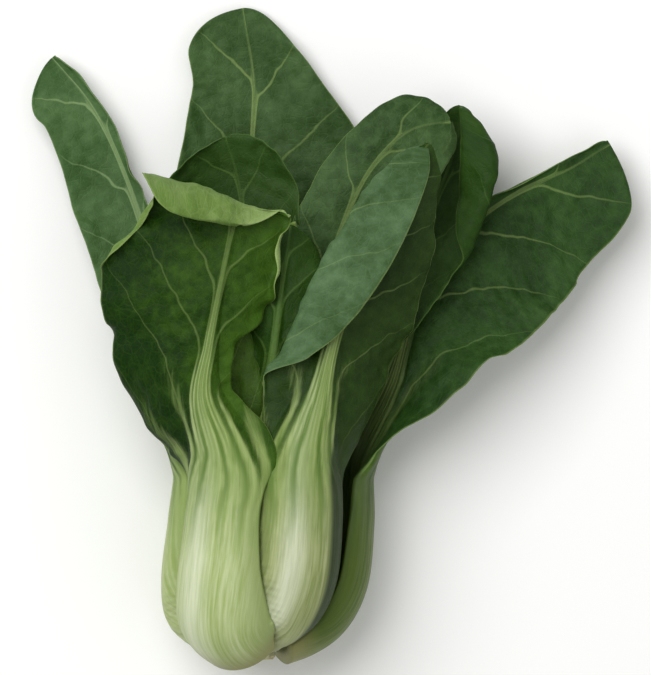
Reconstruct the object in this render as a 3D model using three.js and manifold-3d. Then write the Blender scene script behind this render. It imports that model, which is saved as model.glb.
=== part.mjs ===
// A whole head of green-stalked bok choy, cut at the base and lying on its back.
// Ten grown leaves stand in two rings of five round a short stem, with three heart leaves inside.
// Each leaf is one body from stalk base to blade tip; the tips point to +Y and the head rests on z = 0.
import * as THREE from "three";
import { mergeVertices } from "three/addons/utils/BufferGeometryUtils.js";
import Module from "manifold-3d";

const wasm = await Module();
wasm.setup();

// Driving dimensions, in millimetres and degrees
const AXIS_HEIGHT = 33.5;
const AXIS_PATH = [
  [-99, -25],
  [-85, -22.5],
  [-67, -19],
  [-34, -17],
  [0, -15],
];
const OUTER_RING = 23.5;
const INNER_RING = 15;
const HEART_RING = 6.5;
const NECK_Y = -36;
const BULB = [
  [0, 0.36],
  [0.05, 0.62],
  [0.14, 0.86],
  [0.32, 1],
  [0.65, 1.04],
  [1, 1.08],
];
const CLEARANCE = 0.3;
const SIMPLIFY = 0.06;
const WELD = 0.001;
const STALK_THICKNESS = 7.5;
const BLADE_THICKNESS = 0.7;
const TIP_HALF_WIDTH = 0.8;

// Stations run 0 at the stalk base, 1 at the neck and 2 at the blade tip
const STALK_CUP = [
  [0, 50],
  [0.8, 46],
];
const INNER_STALK_CUP = [
  [0, 40],
  [0.9, 40],
];
const WIDE_STALK = [
  [0, 14],
  [0.12, 18],
  [0.3, 18.5],
  [0.7, 17.8],
];
const MID_STALK = [
  [0, 9.5],
  [0.12, 14],
  [0.3, 16.8],
  [0.7, 16],
];
const NARROW_STALK = [
  [0, 8],
  [0.12, 11.5],
  [0.3, 14.5],
  [0.7, 14.5],
];
const INNER_STALK = [
  [0, 6],
  [0.2, 10],
  [0.5, 12],
  [1, 12],
];
const HEART_STALK = [
  [0, 3],
  [0.3, 5.5],
  [1, 6],
];
const GROWN_THICKNESS = [
  [0, 6.5],
  [0.4, STALK_THICKNESS],
  [1, 5],
  [1.3, 3.2],
  [1.7, 1.6],
  [2, 0.8],
];
const INNER_THICKNESS = [
  [0, 4.5],
  [0.4, 5.2],
  [1, 4],
  [1.3, 2.6],
  [1.7, 1.4],
  [2, 0.8],
];
const HEART_THICKNESS = [
  [0, 3],
  [0.5, 3.2],
  [1, 2.4],
  [1.5, 1.6],
  [2, 0.8],
];
const RIB_HALF_WIDTH = [
  [0, 17],
  [0.8, 17],
  [1.15, 8],
  [1.45, 2.4],
  [2, 0.9],
];

const PATH_STEPS = 240;
const SECTION_STEPS = 48;

const smooth = (x) => THREE.MathUtils.smoothstep(x, 0, 1);

// Value at x of a smooth line through [x, value] pairs; a plain number is the same everywhere.
function profile(points, x) {
  if (typeof points === "number") return points;
  const last = points.length - 1;
  if (x <= points[0][0]) return points[0][1];
  if (x >= points[last][0]) return points[last][1];
  const i = points.findIndex((p) => p[0] > x) - 1;
  const slope = (a, b) => (points[b][1] - points[a][1]) / (points[b][0] - points[a][0]);
  const m0 = slope(Math.max(i - 1, 0), i + 1);
  const m1 = slope(i, Math.min(i + 2, last));
  const h = points[i + 1][0] - points[i][0];
  const t = (x - points[i][0]) / h;
  const rise = points[i][1] * (1 + 2 * t) * (1 - t) ** 2 + points[i + 1][1] * t * t * (3 - 2 * t);
  return rise + h * (m0 * t * (1 - t) ** 2 + m1 * t * t * (t - 1));
}

// Centre of the head at one height along its length.
function axisPoint(y) {
  return new THREE.Vector3(profile(AXIS_PATH, y), y, AXIS_HEIGHT);
}

// The leaf's middle line from stalk base to tip, with the leaf's outward and sideways directions.
function leafPath(leaf) {
  const angle = THREE.MathUtils.degToRad(leaf.azimuth);
  const outward = new THREE.Vector3(Math.sin(angle), 0, Math.cos(angle));
  const stalk = BULB.map(([share, spread]) => {
    const y = leaf.base + (NECK_Y - leaf.base) * share;
    return axisPoint(y).addScaledVector(outward, spread * leaf.ring);
  });
  const blade = leaf.blade.map(([x, y, z]) => new THREE.Vector3(x, y, z));
  const knots = [...stalk, ...blade];
  const curve = new THREE.CatmullRomCurve3(knots, false, "centripetal");
  curve.arcLengthDivisions = 100 * (knots.length - 1);
  const lengths = curve.getLengths();
  const neck = lengths[100 * (stalk.length - 1)] / lengths[lengths.length - 1];
  const points = curve.getSpacedPoints(PATH_STEPS);
  const stationOf = (t) => (t < neck ? t / neck : 1 + (t - neck) / (1 - neck));
  const frames = [];
  points.forEach((point, k) => {
    const after = points[Math.min(k + 1, PATH_STEPS)];
    const before = points[Math.max(k - 1, 0)];
    const along = after.clone().sub(before).normalize();
    const out = (k ? frames[k - 1].carried : outward).clone();
    out.addScaledVector(along, -out.dot(along)).normalize();
    const across = along.clone().cross(out);
    const roll = THREE.MathUtils.degToRad(profile(leaf.roll, stationOf(k / PATH_STEPS)));
    frames.push({
      point,
      along,
      carried: out,
      out: out.clone().applyAxisAngle(along, roll),
      across: across.clone().applyAxisAngle(along, roll),
    });
  });
  return { frames, neck, stationOf };
}

// Frame of the middle line at share t of its length.
function frameAt(path, t) {
  const x = t * PATH_STEPS;
  const k = Math.min(Math.floor(x), PATH_STEPS - 1);
  const a = path.frames[k];
  const b = path.frames[k + 1];
  const mix = (key) => a[key].clone().lerp(b[key], x - k);
  return { point: mix("point"), out: mix("out").normalize(), across: mix("across").normalize() };
}

// Half width of the leaf to one side at share t.
function halfWidth(leaf, path, t, side) {
  const width = profile(side > 0 ? leaf.right : leaf.left, path.stationOf(t));
  const end = THREE.MathUtils.clamp((t - 1 + leaf.tip) / leaf.tip, 0, 1);
  return Math.max(width * Math.sqrt(1 - end * end), TIP_HALF_WIDTH);
}

// Cross-section of one side: turn angle, reach sideways and drop inwards at even shares of the width.
function sectionOf(leaf, path, t, side) {
  const station = path.stationOf(t);
  const half = side > 0 ? "Right" : "Left";
  const cup = profile(leaf["cup" + half], station);
  const fold = profile(leaf["fold" + half], station);
  const start = profile(leaf["foldAt" + half], station);
  const width = halfWidth(leaf, path, t, side);
  const turn = (s) => THREE.MathUtils.degToRad(cup * s + fold * smooth((s - start) / leaf.foldSpan));
  const steps = [{ share: 0, angle: turn(0), reach: 0, drop: 0, spread: 0 }];
  for (let i = 1; i <= SECTION_STEPS; i += 1) {
    const share = i / SECTION_STEPS;
    const before = steps[i - 1];
    const angle = turn(share);
    const mean = (angle + before.angle) / 2;
    steps.push({
      share,
      angle,
      reach: before.reach + (Math.cos(mean) * width) / SECTION_STEPS,
      drop: before.drop + (Math.sin(mean) * width) / SECTION_STEPS,
      spread: before.spread + 1 / SECTION_STEPS + Math.abs(angle - before.angle) * 0.35,
    });
  }
  return { steps, width, station };
}

// Section values where the running sum named key reaches value.
function sampleSection(steps, key, value) {
  const found = steps.findIndex((s, k) => k > 0 && s[key] >= value);
  const i = found < 0 ? SECTION_STEPS : found;
  const a = steps[i - 1];
  const b = steps[i];
  const f = (value - a[key]) / (b[key] - a[key]);
  const mix = (name) => a[name] + (b[name] - a[name]) * f;
  return { share: mix("share"), angle: mix("angle"), reach: mix("reach"), drop: mix("drop") };
}

// Leaf thickness at a station, distance millimetres from the middle line.
function thicknessAt(leaf, station, distance) {
  const edge = 1.2 - (1.2 - BLADE_THICKNESS) * smooth(station);
  const crown = Math.max(profile(leaf.thickness, station) - edge, 0);
  const rib = profile(RIB_HALF_WIDTH, station);
  return edge + crown * Math.max(1 - (distance / rib) ** 2, 0);
}

// Inner and outer points of one row of the leaf, from its left margin to its right one.
function leafRow(leaf, path, t, columns, grow) {
  const { point, out, across } = frameAt(path, t);
  const row = [];
  for (let c = -columns; c <= columns; c += 1) {
    const side = c < 0 ? -1 : 1;
    const { steps, width, station } = sectionOf(leaf, path, t, side);
    const whole = steps[SECTION_STEPS].spread;
    const s = sampleSection(steps, "spread", (whole * Math.abs(c)) / columns);
    const normal = out.clone().multiplyScalar(Math.cos(s.angle));
    normal.addScaledVector(across, side * Math.sin(s.angle));
    const wave = Math.sin(2 * Math.PI * leaf.waves * (station - 1) + (side > 0 ? 0 : 1.3));
    const ruffle = leaf.ruffle * s.share ** 3 * wave * smooth((station - 1) / 0.2);
    const margin = Math.abs(c) === columns ? grow : 0;
    const base = point.clone().addScaledVector(across, side * (s.reach + margin * Math.cos(s.angle)));
    base.addScaledVector(out, -s.drop - margin * Math.sin(s.angle)).addScaledVector(normal, ruffle);
    const thick = thicknessAt(leaf, station, s.share * width);
    row.push({
      inner: base.clone().addScaledVector(normal, -grow),
      outer: base.clone().addScaledVector(normal, thick + grow),
    });
  }
  return row;
}

// Shares of the length where rows stand: closer where the middle line bends, and round the tip.
function rowShares(leaf, path, rows) {
  const sums = [0];
  for (let k = 1; k <= PATH_STEPS; k += 1) {
    const bend = path.frames[k].along.angleTo(path.frames[k - 1].along);
    sums.push(sums[k - 1] + 1 / PATH_STEPS + bend * 0.12);
  }
  const body = rows - leaf.tipRows;
  const start = 1 - leaf.tip;
  const limit = sums[Math.round(start * PATH_STEPS)];
  const shares = [];
  for (let r = 0; r <= body; r += 1) {
    const want = (limit * r) / body;
    const k = Math.max(sums.findIndex((s) => s >= want), 1);
    shares.push(Math.min((k - 1 + (want - sums[k - 1]) / (sums[k] - sums[k - 1])) / PATH_STEPS, start));
  }
  for (let r = 1; r <= leaf.tipRows; r += 1) {
    shares.push(start + leaf.tip * Math.sin((Math.PI / 2) * (r / leaf.tipRows)));
  }
  return shares;
}

// Closed shell between the inner and outer grids of a leaf.
function shellGeometry(rows) {
  const across = rows[0].length;
  const positions = [];
  for (const side of ["inner", "outer"]) {
    for (const row of rows) {
      for (const p of row) positions.push(...p[side].toArray());
    }
  }
  const at = (layer, r, c) => (layer * rows.length + r) * across + c;
  const index = [];
  const quad = (a, b, c, d) => index.push(a, b, c, a, c, d);
  for (let r = 0; r < rows.length - 1; r += 1) {
    for (let c = 0; c < across - 1; c += 1) {
      quad(at(1, r, c), at(1, r, c + 1), at(1, r + 1, c + 1), at(1, r + 1, c));
      quad(at(0, r, c), at(0, r + 1, c), at(0, r + 1, c + 1), at(0, r, c + 1));
    }
    quad(at(0, r, 0), at(1, r, 0), at(1, r + 1, 0), at(0, r + 1, 0));
    quad(at(0, r + 1, across - 1), at(1, r + 1, across - 1), at(1, r, across - 1), at(0, r, across - 1));
  }
  const end = rows.length - 1;
  for (let c = 0; c < across - 1; c += 1) {
    quad(at(0, 0, c), at(0, 0, c + 1), at(1, 0, c + 1), at(1, 0, c));
    quad(at(1, end, c), at(1, end, c + 1), at(0, end, c + 1), at(0, end, c));
  }
  const geometry = new THREE.BufferGeometry();
  geometry.setAttribute("position", new THREE.Float32BufferAttribute(positions, 3));
  geometry.setIndex(index);
  return geometry;
}

function solidOf(geometry) {
  const vertProperties = new Float32Array(geometry.attributes.position.array);
  const triVerts = new Uint32Array(geometry.index.array);
  return new wasm.Manifold(new wasm.Mesh({ numProp: 3, vertProperties, triVerts }));
}

// Solid of one leaf, swollen by grow on every face.
function leafSolid(leaf, grow = 0) {
  const path = leafPath(leaf);
  const shares = rowShares(leaf, path, leaf.rows);
  const rows = shares.map((t) => leafRow(leaf, path, t, leaf.columns, grow));
  return solidOf(shellGeometry(rows));
}

const GROWN_LEAF = {
  roll: 0,
  foldRight: 0,
  foldLeft: 0,
  foldAtRight: 0.5,
  foldAtLeft: 0.5,
  foldSpan: 0.22,
  thickness: GROWN_THICKNESS,
  ruffle: 0,
  waves: 5,
  tip: 0.1,
  tipRows: 3,
  rows: 19,
  columns: 6,
};
const FOLDED_LEAF = { ...GROWN_LEAF, rows: 22, columns: 7 };
const INNER_LEAF = { ...GROWN_LEAF, base: -88, thickness: INNER_THICKNESS, rows: 16, columns: 5 };
const HEART_LEAF = {
  ...GROWN_LEAF,
  ring: HEART_RING,
  base: -84,
  cupRight: 50,
  cupLeft: 50,
  thickness: HEART_THICKNESS,
  rows: 13,
  columns: 4,
};

// Outermost leaf, facing up on the left: its back shows, and its tip rolls forward and down.
const frontLeftLeaf = () => ({
  ...FOLDED_LEAF,
  azimuth: -36,
  ring: OUTER_RING,
  base: -93.5,
  blade: [
    [-38, -17, 56.5],
    [-36, -2, 58.5],
    [-33.5, 11, 59.5],
    [-30.5, 25, 59.5],
    [-28, 36, 58.5],
    [-27, 40, 60.5],
    [-26.5, 39.5, 64.5],
    [-26, 33.5, 66],
  ],
  left: [
    ...WIDE_STALK,
    [0.94, 17.5],
    [1, 19],
    [1.05, 20.5],
    [1.09, 20],
    [1.2, 24.5],
    [1.32, 30],
    [1.42, 33.5],
    [1.57, 37],
    [1.7, 34],
    [1.85, 25],
    [1.92, 31],
    [2, 24],
  ],
  right: [
    [0, 14],
    [0.12, 18],
    [0.25, 18.2],
    [0.4, 15],
    [0.53, 12.6],
    [0.71, 11.4],
    [0.86, 12.5],
    [0.97, 16.5],
    [1.05, 15.5],
    [1.12, 12.5],
    [1.2, 10],
    [1.29, 8.5],
    [1.37, 7.8],
    [1.44, 10],
    [1.51, 15.5],
    [1.66, 18],
    [1.78, 18],
    [2, 12],
  ],
  cupLeft: [...STALK_CUP, [1.2, 38], [1.5, 22], [1.82, 12], [1.9, -14], [2, -14]],
  cupRight: [...STALK_CUP, [1.03, 30], [1.2, 36], [1.5, 45], [2, 20]],
  foldLeft: [
    [1.56, 0],
    [1.64, -150],
    [1.8, -150],
    [1.86, 0],
  ],
  foldRight: [
    [1.56, 0],
    [1.64, -120],
    [1.8, -120],
    [1.86, 0],
  ],
  foldAtLeft: 0.84,
  foldAtRight: 0.76,
  foldSpan: 0.16,
  roll: [
    [0.8, 0],
    [1.3, 27],
    [2, 29],
  ],
  ruffle: 0.8,
  waves: 7,
  tip: 0.045,
  rows: 24,
});

// Right-hand leaf: it flops out sideways, so its inner face turns up.
const rightLeaf = () => ({
  ...GROWN_LEAF,
  azimuth: 110,
  ring: OUTER_RING + 1.3,
  base: -92,
  blade: [
    [18.5, -13, 26.5],
    [24, 5, 24.5],
    [32, 21, 23],
    [43, 34, 21],
    [57, 44, 18],
    [72.5, 51, 15],
    [84.5, 58.5, 13.5],
  ],
  left: [
    ...MID_STALK,
    [1, 11],
    [1.08, 13],
    [1.18, 19],
    [1.33, 31],
    [1.48, 36],
    [1.6, 36.5],
    [1.74, 34],
    [1.87, 27],
    [1.95, 21.5],
    [2, 17],
  ],
  right: [...MID_STALK, [1, 13], [1.3, 11], [1.5, 6], [1.8, 3], [2, 2.5]],
  cupLeft: [...STALK_CUP, [1.4, 20], [2, 10]],
  cupRight: [...STALK_CUP, [1.4, 60], [2, 40]],
  roll: [
    [0.9, 0],
    [1.2, 48],
    [1.5, 70],
    [2, 65],
  ],
  ruffle: 0.7,
  tip: 0.04,
});

// Left-hand leaf: the mirror habit of the right-hand one, narrower.
const leftLeaf = () => ({
  ...GROWN_LEAF,
  azimuth: -112,
  ring: OUTER_RING + 0.7,
  base: -91,
  blade: [
    [-48.5, -17, 22.5],
    [-51, 2, 18.5],
    [-54.5, 26, 15.5],
    [-62.5, 50.5, 12.5],
    [-72, 70, 11.5],
    [-84, 84.5, 10.5],
  ],
  left: [...MID_STALK, [1, 12], [1.15, 10], [1.35, 4], [1.5, 2.6], [1.8, 2.6], [2, 3]],
  right: [
    ...MID_STALK,
    [1, 13],
    [1.15, 13],
    [1.3, 14.5],
    [1.45, 17],
    [1.6, 18.5],
    [1.75, 17],
    [1.88, 15.5],
    [1.96, 16],
    [2, 12],
  ],
  cupLeft: [...STALK_CUP, [1.4, 60], [2, 50]],
  cupRight: [...STALK_CUP, [1.3, 20], [2, 8]],
  roll: [
    [0.9, 0],
    [1.2, -48],
    [1.5, -68],
    [2, -66],
  ],
  ruffle: 0.6,
  tip: 0.07,
});

// Second front leaf: its left half folds right over the front of the blade.
const frontRightLeaf = () => ({
  ...FOLDED_LEAF,
  azimuth: 23,
  ring: OUTER_RING - 1.5,
  base: -88,
  blade: [
    [-4, -19, 52.5],
    [-0.5, -4, 53.5],
    [4.5, 11, 54.5],
    [11.5, 26, 54.5],
    [20, 42, 54.5],
    [29, 58, 54.5],
  ],
  left: [
    [0, 8],
    [0.12, 10.5],
    [0.3, 12.5],
    [0.7, 12],
    [1, 12],
    [1.12, 15],
    [1.24, 20.5],
    [1.38, 28],
    [1.5, 31],
    [1.65, 31],
    [1.8, 27],
    [1.92, 19],
    [2, 6],
  ],
  right: [
    [0, 8],
    [0.12, 12.5],
    [0.3, 17],
    [0.7, 17.5],
    [1, 17],
    [1.12, 20],
    [1.3, 24],
    [1.55, 25],
    [1.75, 19.5],
    [1.88, 13],
    [2, 4],
  ],
  cupLeft: [...STALK_CUP, [1.25, 28], [1.4, 8], [2, 0]],
  cupRight: [...STALK_CUP, [1.3, 42], [1.6, 35], [2, 30]],
  foldLeft: [
    [1.12, 0],
    [1.25, -148],
    [1.5, -160],
    [2, -170],
  ],
  foldAtLeft: [
    [0, 0.85],
    [1.2, 0.8],
    [1.3, 0.48],
    [1.5, 0.3],
    [2, 0.27],
  ],
  roll: [
    [0.8, 0],
    [1.3, -8],
    [2, -5],
  ],
  tip: 0.05,
});

// Lowest leaf: it lies flat on the surface below, inner face up, and reaches furthest.
const backLeaf = () => ({
  ...GROWN_LEAF,
  azimuth: 162,
  ring: OUTER_RING - 2,
  base: -92,
  blade: [
    [-19.5, -19, 8.5],
    [-22, 11, 6.5],
    [-24, 41, 6.5],
    [-23.5, 61, 7.5],
    [-23, 77, 7.5],
    [-26.5, 99.6, 7.5],
  ],
  left: [
    ...NARROW_STALK,
    [1, 13],
    [1.15, 20],
    [1.4, 33],
    [1.58, 37],
    [1.68, 35],
    [1.76, 30],
    [1.84, 19.5],
    [1.92, 13.5],
    [2, 11],
  ],
  right: [
    ...NARROW_STALK,
    [1, 13],
    [1.15, 20],
    [1.4, 26.5],
    [1.6, 23.5],
    [1.76, 20],
    [1.86, 18.5],
    [1.94, 22],
    [2, 25],
  ],
  cupLeft: [...STALK_CUP, [1.3, 20], [2, 8]],
  cupRight: [...STALK_CUP, [1.3, 20], [2, 8]],
  roll: [
    [0.9, 0],
    [1.3, 18],
    [2, 18],
  ],
  ruffle: 0.8,
  waves: 4,
});

// Inner leaf tucked behind the outermost one.
const innerLeftLeaf = () => ({
  ...INNER_LEAF,
  azimuth: -75,
  ring: INNER_RING + 1,
  blade: [
    [-33.5, -19, 42.5],
    [-39, 2, 44.5],
    [-43.5, 22, 44.5],
    [-45, 32, 44.5],
  ],
  left: [...INNER_STALK, [1.5, 15], [2, 10]],
  right: [...INNER_STALK, [1.5, 15], [2, 10]],
  cupLeft: [...INNER_STALK_CUP, [1.5, 25]],
  cupRight: [...INNER_STALK_CUP, [1.5, 25]],
  roll: [
    [0.9, 0],
    [1.3, 50],
    [2, 54],
  ],
  tip: 0.12,
});

// Inner leaf on the right whose far half folds over into a hood.
const innerRightLeaf = () => ({
  ...INNER_LEAF,
  rows: FOLDED_LEAF.rows,
  columns: FOLDED_LEAF.columns,
  azimuth: 72,
  ring: INNER_RING + 1,
  blade: [
    [1.5, -19, 28.5],
    [16.5, 11, 23.5],
    [29.5, 37, 20.5],
    [36.5, 53, 20.5],
    [39, 64, 22.5],
    [39, 69.5, 24.5],
  ],
  left: [
    ...INNER_STALK,
    [1.3, 14],
    [1.45, 16],
    [1.6, 20],
    [1.69, 24],
    [1.8, 30],
    [1.9, 29.5],
    [2, 15],
  ],
  right: [...INNER_STALK, [1.5, 10], [2, 8]],
  cupLeft: [...INNER_STALK_CUP, [1.5, 20], [2, 10]],
  cupRight: [...INNER_STALK_CUP, [1.5, 20]],
  foldLeft: [
    [1.56, 0],
    [1.68, 150],
    [2, 150],
  ],
  foldAtLeft: [
    [0, 0.85],
    [1.6, 0.85],
    [1.7, 0.66],
    [1.8, 0.52],
    [2, 0.45],
  ],
  roll: [
    [0.9, 0],
    [1.3, 80],
    [2, 88],
  ],
  tip: 0.08,
});

// Hooded inner leaf standing in front of the back leaf.
const innerBackLeftLeaf = () => ({
  ...INNER_LEAF,
  azimuth: -148,
  ring: INNER_RING + 0.5,
  blade: [
    [-24, -19, 26.5],
    [-25, 11, 27.5],
    [-26, 35, 28.5],
    [-28, 49, 29.5],
    [-31.5, 60, 33.5],
  ],
  left: [...INNER_STALK, [1.3, 16], [1.6, 19], [1.85, 17], [2, 11]],
  right: [...INNER_STALK, [1.3, 15], [1.6, 18.5], [1.85, 23.5], [2, 23]],
  cupLeft: [...INNER_STALK_CUP, [1.5, 30]],
  cupRight: [...INNER_STALK_CUP, [1.5, 30]],
  roll: [
    [0.9, 0],
    [1.3, -30],
    [2, -32],
  ],
  ruffle: 0.8,
  tip: 0.055,
});

// Narrow inner leaf between the two front leaves.
const innerFrontLeaf = () => ({
  ...INNER_LEAF,
  azimuth: -8,
  ring: INNER_RING - 2,
  blade: [
    [-19, -22, 48.5],
    [-17.5, -10, 50.5],
    [-15.5, 5, 51.5],
    [-13.5, 20, 50.5],
    [-11.5, 33.5, 46.5],
  ],
  left: [...INNER_STALK, [1.3, 15], [1.6, 16], [2, 8]],
  right: [...INNER_STALK, [1.5, 15], [2, 10]],
  cupLeft: 35,
  cupRight: 35,
});

// Inner leaf that arches over to the right above the back leaf.
const innerBackRightLeaf = () => ({
  ...INNER_LEAF,
  azimuth: 138,
  ring: INNER_RING - 2,
  blade: [
    [-9, -19, 26.5],
    [-3.5, 8, 30.5],
    [3.5, 32, 34.5],
    [12.5, 51, 36.5],
    [24, 62, 37.5],
    [36, 65, 33.5],
  ],
  left: [...INNER_STALK, [1.3, 14], [1.6, 18], [1.85, 18.5], [2, 15]],
  right: [...INNER_STALK, [1.3, 13], [1.6, 14], [1.9, 11], [2, 8]],
  cupLeft: [...INNER_STALK_CUP, [1.5, 20]],
  cupRight: [...INNER_STALK_CUP, [1.5, -20], [2, -50]],
  roll: [
    [0.9, 0],
    [1.3, 38],
    [2, 45],
  ],
  tip: 0.05,
});

const heartRightLeaf = () => ({
  ...HEART_LEAF,
  azimuth: 60,
  blade: [
    [-12.5, -19, 35.5],
    [-11.5, 5, 37.5],
    [-10, 23, 39.5],
    [-11, 34.5, 41.5],
  ],
  left: [...HEART_STALK, [1.5, 9], [2, 5]],
  right: [...HEART_STALK, [1.5, 9], [2, 5]],
});

const heartBackLeaf = () => ({
  ...HEART_LEAF,
  azimuth: -165,
  blade: [
    [-18.5, -19, 33.5],
    [-19, 2, 34.5],
    [-19, 14, 35.5],
  ],
  left: [...HEART_STALK, [1.5, 8], [2, 5]],
  right: [...HEART_STALK, [1.5, 8], [2, 5]],
});

const heartLeftLeaf = () => ({
  ...HEART_LEAF,
  azimuth: -50,
  blade: [
    [-23.5, -22, 38.5],
    [-24.5, -4, 40.5],
    [-25, 8, 41.5],
  ],
  left: [...HEART_STALK, [1.5, 7], [2, 4]],
  right: [...HEART_STALK, [1.5, 7], [2, 4]],
});

// Short stem the leaves spring from: a stepped cone with the knife cut at its lower end.
function coreStem() {
  const outline = [
    [0, 0],
    [7.4, 0],
    [8.1, 1],
    [7.8, 2.8],
    [4.4, 4.6],
    [3.9, 8.4],
    [1.6, 10],
    [1.4, 13],
    [0, 14],
  ];
  const points = outline.map(([x, y]) => new THREE.Vector2(x, y));
  const lathe = new THREE.LatheGeometry(points, 20);
  lathe.deleteAttribute("normal");
  lathe.deleteAttribute("uv");
  const foot = axisPoint(-96.5);
  lathe.translate(foot.x, foot.y, foot.z);
  return solidOf(mergeVertices(lathe, 1e-4));
}

// Outermost first: where two leaves press together, the inner one gives way.
const LEAVES = [
  ["front_left_leaf", frontLeftLeaf()],
  ["right_leaf", rightLeaf()],
  ["left_leaf", leftLeaf()],
  ["front_right_leaf", frontRightLeaf()],
  ["back_leaf", backLeaf()],
  ["inner_left_leaf", innerLeftLeaf()],
  ["inner_right_leaf", innerRightLeaf()],
  ["inner_back_left_leaf", innerBackLeftLeaf()],
  ["inner_front_leaf", innerFrontLeaf()],
  ["inner_back_right_leaf", innerBackRightLeaf()],
  ["heart_right_leaf", heartRightLeaf()],
  ["heart_back_leaf", heartBackLeaf()],
  ["heart_left_leaf", heartLeftLeaf()],
];

// Largest single body of a solid, without the crumbs a cut can leave.
function largest(solid) {
  return solid.decompose().reduce((a, b) => (b.volume() > a.volume() ? b : a));
}

// Solid less the swollen leaves that touch it, so a small gap stays between neighbours.
function fitBeside(solid, outer) {
  let result = solid;
  for (const { swollen } of outer) {
    if (result.intersect(swollen).volume() > 0) result = largest(result.subtract(swollen));
  }
  result = largest(result.simplify(SIMPLIFY));
  for (const { placed, swollen } of outer) {
    if (result.intersect(placed).volume() > 0) result = largest(result.subtract(swollen));
  }
  return result;
}

const leafMaterial = () => new THREE.MeshStandardMaterial({ color: 0x4f7a32, roughness: 0.5, metalness: 0 });
const heartMaterial = () => new THREE.MeshStandardMaterial({ color: 0x8fae4f, roughness: 0.5, metalness: 0 });
const stemMaterial = () => new THREE.MeshStandardMaterial({ color: 0xd6dcb6, roughness: 0.45, metalness: 0 });

function geometryOf(solid) {
  const { vertProperties, triVerts } = solid.getMesh();
  const geometry = new THREE.BufferGeometry();
  geometry.setAttribute("position", new THREE.BufferAttribute(Float32Array.from(vertProperties), 3));
  geometry.setIndex([...triVerts]);
  return geometry;
}

// Solid with vertices closer than WELD made one, less any crumb that pinches off.
function welded(solid) {
  return largest(solidOf(mergeVertices(geometryOf(solid).toNonIndexed(), WELD)));
}

function meshOf(name, solid, material) {
  const geometry = geometryOf(solid);
  geometry.computeVertexNormals();
  const mesh = new THREE.Mesh(geometry, material);
  mesh.name = name;
  return mesh;
}

// Shift that stands the head's box on z = 0, centred over the origin.
function shiftToOrigin(pieces) {
  const box = new THREE.Box3();
  for (const { solid } of pieces) {
    const { min, max } = solid.boundingBox();
    box.expandByPoint(new THREE.Vector3(...min));
    box.expandByPoint(new THREE.Vector3(...max));
  }
  const centre = box.getCenter(new THREE.Vector3());
  return [-centre.x, -centre.y, -box.min.z];
}

const outer = [];
const pieces = [];
for (const [name, leaf] of LEAVES) {
  const placed = fitBeside(leafSolid(leaf), outer);
  const material = name.startsWith("heart") ? heartMaterial() : leafMaterial();
  pieces.push({ name, solid: placed, material });
  outer.push({ placed, swollen: leafSolid(leaf, CLEARANCE).add(placed) });
}
pieces.push({ name: "core_stem", solid: fitBeside(coreStem(), outer), material: stemMaterial() });

const head = new THREE.Group();
const shift = shiftToOrigin(pieces);
for (const { name, solid, material } of pieces) {
  head.add(meshOf(name, welded(solid.translate(shift)), material));
}

export default head;
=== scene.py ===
"""Head of bok choy on a pale surface: ribbed fleshy stalks and veined blades over the frame."""

import logging
import math
from dataclasses import dataclass, field, replace
from enum import Enum
from typing import Any

import bmesh
import bpy
import numpy as np
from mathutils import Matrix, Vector
from mathutils.kdtree import KDTree


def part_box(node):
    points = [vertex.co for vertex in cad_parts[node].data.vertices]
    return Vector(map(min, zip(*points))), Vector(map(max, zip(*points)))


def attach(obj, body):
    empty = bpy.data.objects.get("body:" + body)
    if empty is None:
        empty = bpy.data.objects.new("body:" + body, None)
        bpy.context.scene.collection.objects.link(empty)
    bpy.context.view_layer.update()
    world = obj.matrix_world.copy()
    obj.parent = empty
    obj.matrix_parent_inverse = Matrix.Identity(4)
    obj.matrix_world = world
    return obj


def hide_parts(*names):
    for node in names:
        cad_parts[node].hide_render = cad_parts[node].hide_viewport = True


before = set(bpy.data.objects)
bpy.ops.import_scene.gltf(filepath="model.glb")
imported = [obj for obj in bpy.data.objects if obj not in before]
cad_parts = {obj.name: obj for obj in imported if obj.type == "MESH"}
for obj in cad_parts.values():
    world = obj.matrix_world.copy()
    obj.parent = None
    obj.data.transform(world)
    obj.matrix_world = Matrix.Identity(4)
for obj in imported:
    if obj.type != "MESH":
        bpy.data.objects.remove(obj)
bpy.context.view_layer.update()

log = logging.getLogger("bok_choy")

MM = 0.001
ORIGIN_NODE = "core_stem"

# Middle line of the head, the bulb that it swells into and the leaves' edges, in millimetres
AXIS_HEIGHT = 33.5
CORE_FOOT_Y = -96.5
CORE_LENGTH = 14.0
NECK_Y = -36.0
OUTER_RING = 23.5
INNER_RING = 15.0
HEART_RING = 6.5
BLADE_EDGE = 0.7
STALK_EDGE = 1.2
TIP_HALF_WIDTH = 0.8
FLOOR_GAP = 0.05

# Steps of the curves and sections, and how much closer they come where a leaf bends
CURVE_STEPS = 100
PATH_STEPS = 240
SECTION_STEPS = 96
ROW_CROWDING = 0.12
COLUMN_CROWDING = 0.35

# Millimetres to one unit of the coordinates that the finishes' patterns are laid on
SHEET_UNIT = 100

# Fine relief of a leaf's surface, in millimetres
STALK_RIB_HEIGHT = 0.22
VEIN_HEIGHT = 0.34
VEIN_END_HEIGHT = 0.06
PUCKER_DEPTH = 0.5
CRINKLE_HEIGHT = 0.2
CRINKLE_LENGTH = 5.5
BILLOW_HEIGHT = 0.75
BILLOW_LENGTH = 24
MARGIN_WAVE_HEIGHT = 0.4
WIDEST_VEIN_GAP = 14

# Where the rim starts to thin, as a share of the half-width, and how much of it goes
RIM_FROM = 0.955
RIM_ROUNDING = 0.7

# How a leaf gives way to the leaves outside it, in millimetres and grid steps
CLEARANCE = 0.3
YIELD_ROWS = 72
YIELD_COLUMNS = 14
TOUCH_REACH = 2.6
TOUCH_FULL = 1.6
TOUCH_DEPTH = 6.0

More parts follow.
